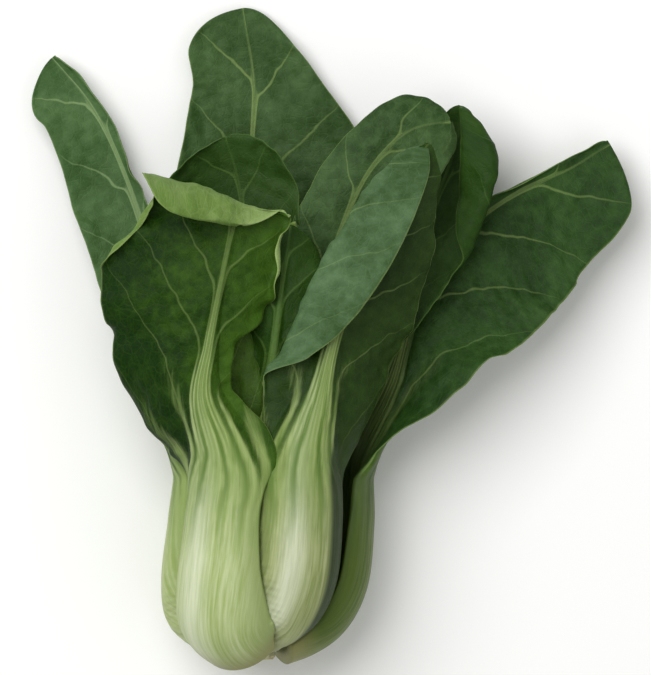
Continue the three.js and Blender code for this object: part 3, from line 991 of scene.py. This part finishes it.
    def relief(self, sheet: Lattice) -> Lattice:
        """Adds ribs, raised veins, puckers and a wavy margin.

        Args:
            sheet: The leaf's surface without relief.

        Returns:
            The surface with relief.
        """
        number, pitch = self.veins(sheet)
        seed = self.shape.seed
        away, share = np.abs(sheet.reach), sheet.share
        number = number + 0.06 * Ripples(seed).at(sheet.reach, sheet.length, 30)
        gap = np.abs(number % 1 - 0.5) * pitch
        blade = smooth(sheet.station, 0.95, 1.25)
        stalk = 1 - smooth(sheet.station, 0.95, 1.2)
        clear = smooth(away, 1.0, 5.0)
        ridge = np.exp(-((gap / (0.55 + 0.25 * stalk)) ** 2))
        swell = np.sin(np.pi * (number % 1 - 0.5)) ** 2
        pucker = -PUCKER_DEPTH * swell * blade * clear * (1 - 0.5 * share)
        crinkle = Ripples(seed + 5).at(sheet.reach, sheet.length, CRINKLE_LENGTH)
        crinkle = CRINKLE_HEIGHT * crinkle * blade * clear
        billow = Ripples(seed + 9, 8).at(sheet.reach, sheet.length, BILLOW_LENGTH)
        billow = BILLOW_HEIGHT * billow * blade * share**1.5
        wander = sheet.length * 0.4 + 2.2 * np.sin(sheet.length * 0.13)
        margin = MARGIN_WAVE_HEIGHT * np.sin(wander) * blade * smooth(share, 0.78, 1.0)
        move = pucker + crinkle + billow + margin
        uneven = 0.6 + 0.4 * Ripples(seed + 3).at(sheet.reach * 2.4, sheet.length * 0.2, 16)
        rib = STALK_RIB_HEIGHT * swell * stalk * uneven * smooth(sheet.station, 0.1, 0.9)
        vein = (VEIN_HEIGHT * (1 - share) + VEIN_END_HEIGHT) * ridge * blade
        rib = rib + vein * smooth(away, 0.2, 2.0)
        inner = sheet.inner + sheet.normal * move[..., None]
        outer = sheet.outer + sheet.normal * (move + rib)[..., None]
        rim = smooth(share, RIM_FROM, 1.0)[..., None] * RIM_ROUNDING
        middle = (inner + outer) / 2
        inner, outer = inner + (middle - inner) * rim, outer + (middle - outer) * rim
        return replace(sheet, inner=inner, outer=outer)

    def settle(self, outside: list["Leaf"]) -> None:
        """Works out how far the leaf gives way to the leaves outside it.

        Args:
            outside: Leaves that keep their place.
        """
        own = self.lattice(YIELD_ROWS, YIELD_COLUMNS)
        centre = (own.inner + own.outer) / 2
        half = np.linalg.norm(own.outer - own.inner, axis=2) / 2
        push = np.zeros_like(centre)
        for other in outside:
            self._press(other.coarse, centre, half, push)
        for _ in range(3):
            wide = np.pad(push, ((1, 1), (1, 1), (0, 0)), mode="edge")
            soft = (wide[:-2, 1:-1] + wide[2:, 1:-1] + wide[1:-1, :-2] + wide[1:-1, 2:]) / 4
            push = push * 0.5 + soft * 0.5
        self.push = push
        own.inner = own.inner + push
        own.outer = own.outer + push
        self.coarse = own

    @staticmethod
    def _press(wall: Lattice, centre: np.ndarray, half: np.ndarray, push: np.ndarray) -> None:
        """Adds the push that one leaf outside gives.

        Args:
            wall: The leaf outside.
            centre: Middle of this leaf's thickness, point by point.
            half: Half of its thickness there.
            push: Push so far, which this adds to.
        """
        flat = wall.inner.reshape(-1, 3)
        inward = -wall.normal.reshape(-1, 3)
        tree = KDTree(len(flat))
        for i, p in enumerate(flat):
            tree.insert(p, i)
        tree.balance()
        low, high = flat.min(0) - TOUCH_DEPTH, flat.max(0) + TOUCH_DEPTH
        for r, c in np.ndindex(half.shape):
            p = centre[r, c] + push[r, c]
            if np.any(p < low) or np.any(p > high):
                continue
            i = tree.find(p)[1]
            offset = p - flat[i]
            depth = float(offset @ inward[i])
            side = np.linalg.norm(offset - depth * inward[i])
            need = half[r, c] + CLEARANCE - depth
            if side < TOUCH_REACH and need > 0 and depth > -TOUCH_DEPTH:
                push[r, c] += inward[i] * need * (1 - max(side - TOUCH_FULL, 0))

    def yielded(self, sheet: Lattice, rows: int, columns: int) -> Lattice:
        """Surface moved by what settle() found.

        Args:
            sheet: The fine surface.
            rows: Its strips along the leaf.
            columns: Its strips across each half.

        Returns:
            The moved surface.
        """
        if self.push is None or not np.any(self.push):
            return sheet
        u = np.linspace(0, self.push.shape[0] - 1, rows + 1)
        v = np.linspace(0, self.push.shape[1] - 1, 2 * columns + 1)
        i = np.clip(u.astype(int), 0, self.push.shape[0] - 2)
        j = np.clip(v.astype(int), 0, self.push.shape[1] - 2)
        a, b = (u - i)[:, None, None], (v - j)[None, :, None]
        a, b = a * a * (3 - 2 * a), b * b * (3 - 2 * b)
        p = self.push
        near = p[i][:, j] * (1 - b) + p[i][:, j + 1] * b
        far = p[i + 1][:, j] * (1 - b) + p[i + 1][:, j + 1] * b
        move = near * (1 - a) + far * a
        return replace(sheet, inner=sheet.inner + move, outer=sheet.outer + move)

    def build(self, shift: np.ndarray) -> bpy.types.Object:
        """Makes the leaf's mesh and dresses it.

        Args:
            shift: Move from the leaf's own coordinates to the frame's, in millimetres.

        Returns:
            The finished piece.
        """
        rows, columns = self.shape.rows, self.shape.columns
        sheet = self.lattice(rows, columns)
        shaped = self.yielded(self.relief(sheet), rows, columns)
        mesh, r, c, back = self._blank(rows, columns)
        place = np.where(back[:, None], shaped.outer[r, c], shaped.inner[r, c]) + shift
        place[:, 2] = np.maximum(place[:, 2], FLOOR_GAP)
        mesh.vertices.foreach_set("co", (place * MM).ravel())
        self._carry_measures(mesh, sheet, r, c, back)
        mesh.update()
        self._face_outwards(mesh)
        finish = self.finish.material(self.node + "_finish")
        return dressed(self.node + "_blade", mesh, finish, self.node)

    def _blank(
        self, rows: int, columns: int
    ) -> tuple[bpy.types.Mesh, np.ndarray, np.ndarray, np.ndarray]:
        """Flat sheet with a thickness, to be bent into the leaf.

        Args:
            rows: Strips along the leaf.
            columns: Strips across each half.

        Returns:
            The mesh, and each point's row, column and whether it is on the back.
        """
        bm = bmesh.new()
        bmesh.ops.create_grid(bm, x_segments=2 * columns, y_segments=rows, size=1.0)
        bmesh.ops.solidify(bm, geom=bm.faces[:], thickness=0.5)
        mesh = bpy.data.meshes.new(self.node + "_leaf_mesh")
        bm.to_mesh(mesh)
        bm.free()
        flat = np.zeros(len(mesh.vertices) * 3)
        mesh.vertices.foreach_get("co", flat)
        x, y, z = flat.reshape(-1, 3).T
        row = np.rint((y + 1) / 2 * rows).astype(int)
        column = np.rint((x + 1) * columns).astype(int)
        return mesh, row, column, z > (z.max() + z.min()) / 2

    def _carry_measures(
        self, mesh: bpy.types.Mesh, sheet: Lattice, r: np.ndarray, c: np.ndarray, back: np.ndarray
    ) -> None:
        """Gives the points the measures that the finish reads.

        Args:
            mesh: The leaf's mesh.
            sheet: The leaf's surface.
            r: Row of each point.
            c: Column of each point.
            back: Whether each point is on the back.
        """
        number, pitch = self.veins(sheet)
        carried = {
            "station": sheet.station[r, c],
            "share": sheet.share[r, c],
            "signed_share": sheet.share[r, c] * np.sign(sheet.reach[r, c]),
            "reach_mm": np.abs(sheet.reach[r, c]),
            "bundle_mm": BUNDLE.at(sheet.station)[r, c],
            "back": back.astype(float),
            "vein_phase": number[r, c],
            "vein_pitch": pitch[r, c],
        }
        for name, values in carried.items():
            layer = mesh.attributes.new(name, "FLOAT", "POINT")
            layer.data.foreach_set("value", values.astype(np.float32))
        corner = np.zeros(len(mesh.loops), dtype=np.int32)
        mesh.loops.foreach_get("vertex_index", corner)
        flat = np.stack([sheet.reach[r, c], sheet.length[r, c]], axis=1)[corner] / SHEET_UNIT
        uv = mesh.uv_layers.new(name="sheet")
        uv.data.foreach_set("uv", flat.astype(np.float32).ravel())

    @staticmethod
    def _face_outwards(mesh: bpy.types.Mesh) -> None:
        """Turns the faces outwards where the blank's walls ended up inside out.

        Args:
            mesh: The leaf's mesh.
        """
        bm = bmesh.new()
        bm.from_mesh(mesh)
        if bm.calc_volume(signed=True) < 0:
            bmesh.ops.reverse_faces(bm, faces=bm.faces[:])
        bm.to_mesh(mesh)
        bm.free()


INNER_SHAPE: dict[str, Any] = {
    "base": -88,
    "thickness": INNER_THICKNESS,
    "rows": 240,
    "columns": 40,
    "veins": 6.0,
}
HEART_SHAPE: dict[str, Any] = {
    "ring": HEART_RING,
    "base": -84,
    "cup_left": level(50),
    "cup_right": level(50),
    "thickness": HEART_THICKNESS,
    "rows": 150,
    "columns": 20,
    "veins": 4.0,
}

FRONT_LEFT = LeafShape(
    azimuth=-36,
    ring=OUTER_RING,
    base=-93.5,
    blade=(
        (-38, -17, 56.5), (-36, -2, 58.5), (-33.5, 11, 59.5), (-30.5, 25, 59.5),
        (-28, 36, 58.5), (-27, 40, 60.5), (-26.5, 39.5, 64.5), (-26, 33.5, 66),
    ),
    left=(
        *WIDE_STALK, (0.94, 17.5), (1.0, 19), (1.05, 20.5), (1.09, 20), (1.2, 24.5),
        (1.32, 30), (1.42, 33.5), (1.57, 37), (1.7, 34), (1.85, 25), (1.92, 31), (2, 24),
    ),
    right=(
        (0, 14), (0.12, 18), (0.25, 18.2), (0.4, 15), (0.53, 12.6), (0.71, 11.4), (0.86, 12.5),
        (0.97, 16.5), (1.05, 15.5), (1.12, 12.5), (1.2, 10), (1.29, 8.5), (1.37, 7.8),
        (1.44, 10), (1.51, 15.5), (1.66, 18), (1.78, 18), (2, 12),
    ),
    cup_left=cupped((1.2, 38), (1.5, 22), (1.82, 12), (1.9, -14), (2, -14)),
    cup_right=cupped((1.03, 30), (1.2, 36), (1.5, 45), (2, 20)),
    fold_left=Profile(((1.56, 0), (1.64, -150), (1.8, -150), (1.86, 0))),
    fold_right=Profile(((1.56, 0), (1.64, -120), (1.8, -120), (1.86, 0))),
    fold_at_left=level(0.84),
    fold_at_right=level(0.76),
    fold_span=0.16,
    roll=Profile(((0.8, 0), (1.3, 27), (2, 29))),
    ruffle=0.8,
    waves=7,
    tip=0.045,
    rows=340,
    seed=11,
)
RIGHT = LeafShape(
    azimuth=110,
    ring=OUTER_RING + 1.3,
    base=-92,
    blade=(
        (18.5, -13, 26.5), (24, 5, 24.5), (32, 21, 23), (43, 34, 21), (57, 44, 18),
        (72.5, 51, 15), (84.5, 58.5, 13.5),
    ),
    left=(
        *MID_STALK, (1, 11), (1.08, 13), (1.18, 19), (1.33, 31), (1.48, 36), (1.6, 36.5),
        (1.74, 34), (1.87, 27), (1.95, 21.5), (2, 17),
    ),
    right=(*MID_STALK, (1, 13), (1.3, 11), (1.5, 6), (1.8, 3), (2, 2.5)),
    cup_left=cupped((1.4, 20), (2, 10)),
    cup_right=cupped((1.4, 60), (2, 40)),
    roll=Profile(((0.9, 0), (1.2, 48), (1.5, 70), (2, 65))),
    ruffle=0.7,
    tip=0.04,
    seed=23,
)
LEFT = LeafShape(
    azimuth=-112,
    ring=OUTER_RING + 0.7,
    base=-91,
    blade=(
        (-48.5, -17, 22.5), (-51, 2, 18.5), (-54.5, 26, 15.5), (-62.5, 50.5, 12.5),
        (-72, 70, 11.5), (-84, 84.5, 10.5),
    ),
    left=(*MID_STALK, (1, 12), (1.15, 10), (1.35, 4), (1.5, 2.6), (1.8, 2.6), (2, 3)),
    right=(
        *MID_STALK, (1, 13), (1.15, 13), (1.3, 14.5), (1.45, 17), (1.6, 18.5), (1.75, 17),
        (1.88, 15.5), (1.96, 16), (2, 12),
    ),
    cup_left=cupped((1.4, 60), (2, 50)),
    cup_right=cupped((1.3, 20), (2, 8)),
    roll=Profile(((0.9, 0), (1.2, -48), (1.5, -68), (2, -66))),
    ruffle=0.6,
    tip=0.07,
    seed=31,
)
FRONT_RIGHT = LeafShape(
    azimuth=23,
    ring=OUTER_RING - 1.5,
    base=-88,
    blade=(
        (-4, -19, 52.5), (-0.5, -4, 53.5), (4.5, 11, 54.5), (11.5, 26, 54.5), (20, 42, 54.5),
        (29, 58, 54.5),
    ),
    left=(
        (0, 8), (0.12, 10.5), (0.3, 12.5), (0.7, 12), (1, 12), (1.12, 15), (1.24, 20.5),
        (1.38, 28), (1.5, 31), (1.65, 31), (1.8, 27), (1.92, 19), (2, 6),
    ),
    right=(
        (0, 8), (0.12, 12.5), (0.3, 17), (0.7, 17.5), (1, 17), (1.12, 20), (1.3, 24),
        (1.55, 25), (1.75, 19.5), (1.88, 13), (2, 4),
    ),
    cup_left=cupped((1.25, 28), (1.4, 8), (2, 0)),
    cup_right=cupped((1.3, 42), (1.6, 35), (2, 30)),
    fold_left=Profile(((1.12, 0), (1.25, -148), (1.5, -160), (2, -170))),
    fold_at_left=Profile(((0, 0.85), (1.2, 0.8), (1.3, 0.48), (1.5, 0.3), (2, 0.27))),
    roll=Profile(((0.8, 0), (1.3, -8), (2, -5))),
    tip=0.05,
    columns=64,
    seed=41,
)
BACK = LeafShape(
    azimuth=162,
    ring=OUTER_RING - 2,
    base=-92,
    blade=(
        (-19.5, -19, 8.5), (-22, 11, 6.5), (-24, 41, 6.5), (-23.5, 61, 7.5), (-23, 77, 7.5),
        (-26.5, 99.6, 7.5),
    ),
    left=(
        *NARROW_STALK, (1, 13), (1.15, 20), (1.4, 33), (1.58, 37), (1.68, 35), (1.76, 30),
        (1.84, 19.5), (1.92, 13.5), (2, 11),
    ),
    right=(
        *NARROW_STALK, (1, 13), (1.15, 20), (1.4, 26.5), (1.6, 23.5), (1.76, 20), (1.86, 18.5),
        (1.94, 22), (2, 25),
    ),
    cup_left=cupped((1.3, 20), (2, 8)),
    cup_right=cupped((1.3, 20), (2, 8)),
    roll=Profile(((0.9, 0), (1.3, 18), (2, 18))),
    ruffle=0.8,
    waves=4,
    seed=53,
)
INNER_LEFT = LeafShape(
    azimuth=-75,
    ring=INNER_RING + 1,
    blade=((-33.5, -19, 42.5), (-39, 2, 44.5), (-43.5, 22, 44.5), (-45, 32, 44.5)),
    left=(*INNER_STALK, (1.5, 15), (2, 10)),
    right=(*INNER_STALK, (1.5, 15), (2, 10)),
    cup_left=inner_cupped((1.5, 25)),
    cup_right=inner_cupped((1.5, 25)),
    roll=Profile(((0.9, 0), (1.3, 50), (2, 54))),
    tip=0.12,
    seed=61,
    **INNER_SHAPE,
)
INNER_RIGHT = LeafShape(
    azimuth=72,
    ring=INNER_RING + 1,
    blade=(
        (1.5, -19, 28.5), (16.5, 11, 23.5), (29.5, 37, 20.5), (36.5, 53, 20.5), (39, 64, 22.5),
        (39, 69.5, 24.5),
    ),
    left=(
        *INNER_STALK, (1.3, 14), (1.45, 16), (1.6, 20), (1.69, 24), (1.8, 30), (1.9, 29.5),
        (2, 15),
    ),
    right=(*INNER_STALK, (1.5, 10), (2, 8)),
    cup_left=inner_cupped((1.5, 20), (2, 10)),
    cup_right=inner_cupped((1.5, 20)),
    fold_left=Profile(((1.56, 0), (1.68, 150), (2, 150))),
    fold_at_left=Profile(((0, 0.85), (1.6, 0.85), (1.7, 0.66), (1.8, 0.52), (2, 0.45))),
    roll=Profile(((0.9, 0), (1.3, 80), (2, 88))),
    tip=0.08,
    seed=67,
    **INNER_SHAPE,
)
INNER_BACK_LEFT = LeafShape(
    azimuth=-148,
    ring=INNER_RING + 0.5,
    blade=((-24, -19, 26.5), (-25, 11, 27.5), (-26, 35, 28.5), (-28, 49, 29.5), (-31.5, 60, 33.5)),
    left=(*INNER_STALK, (1.3, 16), (1.6, 19), (1.85, 17), (2, 11)),
    right=(*INNER_STALK, (1.3, 15), (1.6, 18.5), (1.85, 23.5), (2, 23)),
    cup_left=inner_cupped((1.5, 30)),
    cup_right=inner_cupped((1.5, 30)),
    roll=Profile(((0.9, 0), (1.3, -30), (2, -32))),
    ruffle=0.8,
    tip=0.055,
    seed=71,
    **INNER_SHAPE,
)
INNER_FRONT = LeafShape(
    azimuth=-8,
    ring=INNER_RING - 2,
    blade=(
        (-19, -22, 48.5), (-17.5, -10, 50.5), (-15.5, 5, 51.5), (-13.5, 20, 50.5),
        (-11.5, 33.5, 46.5),
    ),
    left=(*INNER_STALK, (1.3, 15), (1.6, 16), (2, 8)),
    right=(*INNER_STALK, (1.5, 15), (2, 10)),
    cup_left=level(35),
    cup_right=level(35),
    seed=73,
    **INNER_SHAPE,
)
INNER_BACK_RIGHT = LeafShape(
    azimuth=138,
    ring=INNER_RING - 2,
    blade=(
        (-9, -19, 26.5), (-3.5, 8, 30.5), (3.5, 32, 34.5), (12.5, 51, 36.5), (24, 62, 37.5),
        (36, 65, 33.5),
    ),
    left=(*INNER_STALK, (1.3, 14), (1.6, 18), (1.85, 18.5), (2, 15)),
    right=(*INNER_STALK, (1.3, 13), (1.6, 14), (1.9, 11), (2, 8)),
    cup_left=inner_cupped((1.5, 20)),
    cup_right=inner_cupped((1.5, -20), (2, -50)),
    roll=Profile(((0.9, 0), (1.3, 38), (2, 45))),
    tip=0.05,
    seed=79,
    **INNER_SHAPE,
)
HEART_RIGHT = LeafShape(
    azimuth=60,
    blade=((-12.5, -19, 35.5), (-11.5, 5, 37.5), (-10, 23, 39.5), (-11, 34.5, 41.5)),
    left=(*HEART_STALK, (1.5, 9), (2, 5)),
    right=(*HEART_STALK, (1.5, 9), (2, 5)),
    seed=83,
    **HEART_SHAPE,
)
HEART_BACK = LeafShape(
    azimuth=-165,
    blade=((-18.5, -19, 33.5), (-19, 2, 34.5), (-19, 14, 35.5)),
    left=(*HEART_STALK, (1.5, 8), (2, 5)),
    right=(*HEART_STALK, (1.5, 8), (2, 5)),
    seed=89,
    **HEART_SHAPE,
)
HEART_LEFT = LeafShape(
    azimuth=-50,
    blade=((-23.5, -22, 38.5), (-24.5, -4, 40.5), (-25, 8, 41.5)),
    left=(*HEART_STALK, (1.5, 7), (2, 4)),
    right=(*HEART_STALK, (1.5, 7), (2, 4)),
    seed=97,
    **HEART_SHAPE,
)


@dataclass
class CoreStem:
    """Short stem that the leaves spring from, with the knife's cut at its lower end."""

    node: str = ORIGIN_NODE
    segments: int = 72
    outline_steps: int = 60
    cut_depth: float = 1.2
    roughness: float = 0.12
    outline: Pairs = (
        *((0, 0), (7.4, 0), (8.1, 1), (7.8, 2.8), (4.4, 4.6)),
        *((3.9, 8.4), (1.6, 10), (1.4, 13), (0.02, 14)),
    )

    def build(self, shift: np.ndarray) -> bpy.types.Object:
        """Turns the outline round the head's middle line.

        Args:
            shift: Move from the head's own coordinates to the frame's, in millimetres.

        Returns:
            The finished piece.
        """
        foot = axis_point(CORE_FOOT_Y) + shift
        bm = bmesh.new()
        places = np.linspace(0, 1, self.outline_steps)
        marks = np.linspace(0, 1, len(self.outline))
        x, y = (np.interp(places, marks, values) for values in np.array(self.outline).T)
        chain = [bm.verts.new((*point, 0)) for point in zip(x, y)]
        edges = [bm.edges.new(pair) for pair in zip(chain, chain[1:])]
        bmesh.ops.spin(
            bm,
            geom=[*chain, *edges],
            cent=(0, 0, 0),
            axis=(0, 1, 0),
            angle=2 * math.pi,
            steps=self.segments,
            use_merge=True,
        )
        bmesh.ops.remove_doubles(bm, verts=bm.verts[:], dist=0.02)
        bmesh.ops.recalc_face_normals(bm, faces=bm.faces[:])
        ripples = Ripples(7)
        for v in bm.verts:
            wave = ripples.at(np.array(v.co.x), np.array(v.co.z), 3.2)
            v.co.y += self.roughness * float(wave) if v.co.y < self.cut_depth else 0
        mesh = bpy.data.meshes.new(self.node + "_mesh")
        cut = [1.0 - min(max((v.co.y - 0.3) / self.cut_depth, 0), 1) for v in bm.verts]
        bmesh.ops.translate(bm, verts=bm.verts[:], vec=Vector(foot))
        bmesh.ops.scale(bm, verts=bm.verts[:], vec=(MM, MM, MM))
        bm.to_mesh(mesh)
        bm.free()
        layer = mesh.attributes.new("cut_face", "FLOAT", "POINT")
        layer.data.foreach_set("value", cut)
        finish = StemFinish().material("stem_finish")
        return dressed(self.node + "_cut", mesh, finish, self.node)


@dataclass
class Studio:
    """Pale floor, soft lights and the camera straight above."""

    view_height: float = 0.2025
    aim: tuple[float, float] = (-1.35, 0.0)
    middle: float = 0.028
    distance: float = 3.0
    key_place: Point = (-0.38, 0.34, 0.94)
    key_size: float = 0.85
    key_power: float = 9.4
    fill_place: Point = (0.5, -0.3, 0.8)
    fill_size: float = 0.8
    fill_power: float = 1.2
    air_light: float = 0.45

    def build(self, shift: np.ndarray) -> None:
        """Makes the floor, the lights and the camera.

        Args:
            shift: Move from the head's own coordinates to the frame's, in millimetres.
        """
        self._floor()
        self._light("key_light", self.key_place, self.key_size, self.key_power)
        self._light("fill_light", self.fill_place, self.fill_size, self.fill_power)
        world = bpy.data.worlds.new("studio_air")
        world.use_nodes = True
        background = world.node_tree.nodes["Background"]
        background.inputs["Color"].default_value = (1.0, 1.0, 0.98, 1.0)
        background.inputs["Strength"].default_value = self.air_light
        bpy.context.scene.world = world
        bpy.context.scene.view_settings.view_transform = "Standard"
        self._camera(shift)

    def _floor(self) -> None:
        """Wide flat surface that the head lies on."""
        bm = bmesh.new()
        bmesh.ops.create_grid(bm, x_segments=2, y_segments=2, size=3.0)
        mesh = bpy.data.meshes.new("floor_mesh")
        bm.to_mesh(mesh)
        bm.free()
        floor = bpy.data.objects.new("floor", mesh)
        bpy.context.scene.collection.objects.link(floor)
        mesh.materials.append(FloorFinish().material("floor_finish"))

    @staticmethod
    def _light(name: str, place: Point, size: float, power: float) -> None:
        """Adds a square lamp that faces the head.

        Args:
            name: The lamp's name.
            place: Where it hangs, in metres.
            size: Side of its panel.
            power: Its power in watts.
        """
        data = bpy.data.lights.new(name, "AREA")
        data.size = size
        data.energy = power
        lamp = bpy.data.objects.new(name, data)
        lamp.location = place
        lamp.rotation_euler = (-Vector(place)).to_track_quat("-Z", "Y").to_euler()
        bpy.context.scene.collection.objects.link(lamp)

    def _camera(self, shift: np.ndarray) -> None:
        """Long lens straight above the head, with the leaf tips at the top of the view.

        Args:
            shift: Move from the head's own coordinates to the frame's, in millimetres.
        """
        data = bpy.data.cameras.new("camera")
        data.sensor_fit = "VERTICAL"
        data.sensor_height = 24.0
        data.lens = data.sensor_height / 2 / (self.view_height / 2 / self.distance)
        data.clip_end = 20.0
        camera = bpy.data.objects.new("camera", data)
        x, y = (float(shift[k] + self.aim[k]) * MM for k in range(2))
        camera.location = (x, y, self.middle + self.distance)
        bpy.context.scene.collection.objects.link(camera)
        bpy.context.scene.camera = camera


def frame_shift() -> np.ndarray:
    """Compares the stem's box in the frame with its place in the head's own coordinates.

    Returns:
        Move from the head's own coordinates to the frame's, in millimetres.
    """
    low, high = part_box(ORIGIN_NODE)
    centre = (np.array(low) + np.array(high)) / 2 / MM
    return centre - axis_point(CORE_FOOT_Y) - np.array([0, CORE_LENGTH / 2, 0])


def leaves() -> list[Leaf]:
    """Lists the leaves with their sizes and finishes.

    Returns:
        The leaves from the outermost in, which is the order that they give way in.
    """
    grown = LeafFinish()
    inner = replace(grown, green_from=0.86, vein_strength=0.32)
    heart = replace(
        grown,
        back_deep=Tone(96, 130, 50),
        back_light=Tone(150, 176, 90),
        face_deep=Tone(100, 134, 56),
        face_light=Tone(150, 176, 90),
        vein=Tone(196, 208, 150),
    )
    front_left = replace(
        grown,
        seed=1,
        # Painted shade: this blade lighter on one half than the other
        painted_shade_lean=0.45,
        gloss=0.1,
        # Painted shade towards this stalk's edges
        edge=Tone(142, 158, 100),
        # Painted highlight stripe down this stalk
        highlight_at=-0.16,
        highlight_width=0.34,
        highlight_strength=0.55,
        back_deep=Tone(12, 40, 0),
        back_light=Tone(60, 92, 22),
        face_deep=Tone(94, 122, 54),
        face_light=Tone(148, 170, 108),
        vein_strength=0.2,
        rib_strength=0.55,
    )
    # Painted shade: darker olive tones for this leaf's stalk, which lies in shadow at the side of
    # the head
    right = replace(
        grown,
        seed=2,
        ridge=Tone(104, 122, 54),
        groove=Tone(66, 86, 26),
        # Painted shade towards this stalk's edges
        edge=Tone(74, 94, 34),
        neck=Tone(84, 102, 60),
        valley=Tone(48, 70, 22),
        face_deep=Tone(14, 42, 0),
        face_light=Tone(54, 86, 36),
        vein_strength=0.28,
        rib_strength=0.6,
    )
    left = replace(
        grown,
        seed=3,
        face_deep=Tone(46, 78, 32),
        face_light=Tone(88, 118, 72),
        vein=Tone(156, 180, 124),
    )
    front_right = replace(
        grown,
        seed=4,
        ridge=Tone(170, 178, 130),
        groove=Tone(124, 138, 78),
        # Painted shade towards this stalk's base
        foot=Tone(146, 150, 112),
        # Painted shade towards this stalk's edges
        edge=Tone(118, 134, 76),
        # Painted highlight stripe down this stalk
        highlight_at=-0.22,
        highlight_width=0.34,
        highlight_strength=0.65,
        # Painted shade over one side of this stalk, where it turns from the light
        side=Tone(34, 54, 2),
        shade_from=0.3,
        shade_to=0.46,
        back_deep=Tone(22, 46, 2),
        back_light=Tone(48, 74, 22),
        face_deep=Tone(46, 74, 32),
        face_light=Tone(92, 122, 84),
        vein_strength=0.28,
    )
    back = replace(grown, seed=5, face_deep=Tone(34, 62, 16), face_light=Tone(78, 106, 62))
    crossing = replace(inner, seed=10, face_deep=Tone(26, 54, 12), face_light=Tone(80, 108, 62))
    # Painted shade: darker tones for the inner leaves that lie in shadow deep in the head
    painted_shade_finish = replace(
        inner,
        back_deep=Tone(22, 52, 2),
        back_light=Tone(46, 76, 18),
        face_deep=Tone(28, 56, 8),
        face_light=Tone(54, 82, 32),
        vein=Tone(98, 128, 60),
    )
    return [
        Leaf("front_left_leaf", Slot.LEAF, FRONT_LEFT, front_left),
        Leaf("right_leaf", Slot.LEAF, RIGHT, right),
        Leaf("left_leaf", Slot.LEAF, LEFT, left),
        Leaf("front_right_leaf", Slot.LEAF, FRONT_RIGHT, front_right),
        Leaf("back_leaf", Slot.LEAF, BACK, back),
        Leaf("inner_left_leaf", Slot.LEAF, INNER_LEFT, replace(inner, seed=6)),
        Leaf("inner_right_leaf", Slot.LEAF, INNER_RIGHT, replace(painted_shade_finish, seed=7)),
        Leaf("inner_back_left_leaf", Slot.LEAF, INNER_BACK_LEFT, replace(painted_shade_finish, seed=8)),
        Leaf("inner_front_leaf", Slot.LEAF, INNER_FRONT, replace(painted_shade_finish, seed=9)),
        Leaf("inner_back_right_leaf", Slot.LEAF, INNER_BACK_RIGHT, crossing),
        Leaf("heart_right_leaf", Slot.HEART, HEART_RIGHT, replace(heart, seed=11)),
        Leaf("heart_back_leaf", Slot.HEART, HEART_BACK, replace(heart, seed=12)),
        Leaf("heart_left_leaf", Slot.HEART, HEART_LEFT, replace(heart, seed=13)),
    ]


def main() -> None:
    """Builds the studio and the head, piece by piece."""
    logging.basicConfig(level=logging.INFO, format="%(name)s: %(message)s")
    shift = frame_shift()
    Studio().build(shift)
    placed: list[Leaf] = []
    for leaf in leaves():
        leaf.settle(placed)
        piece = leaf.build(shift)
        placed.append(leaf)
        log.info("%s has %d faces", piece.name, len(piece.data.polygons))
    stem = CoreStem().build(shift)
    log.info("%s has %d faces", stem.name, len(stem.data.polygons))


if __name__ == "__main__":
    main()
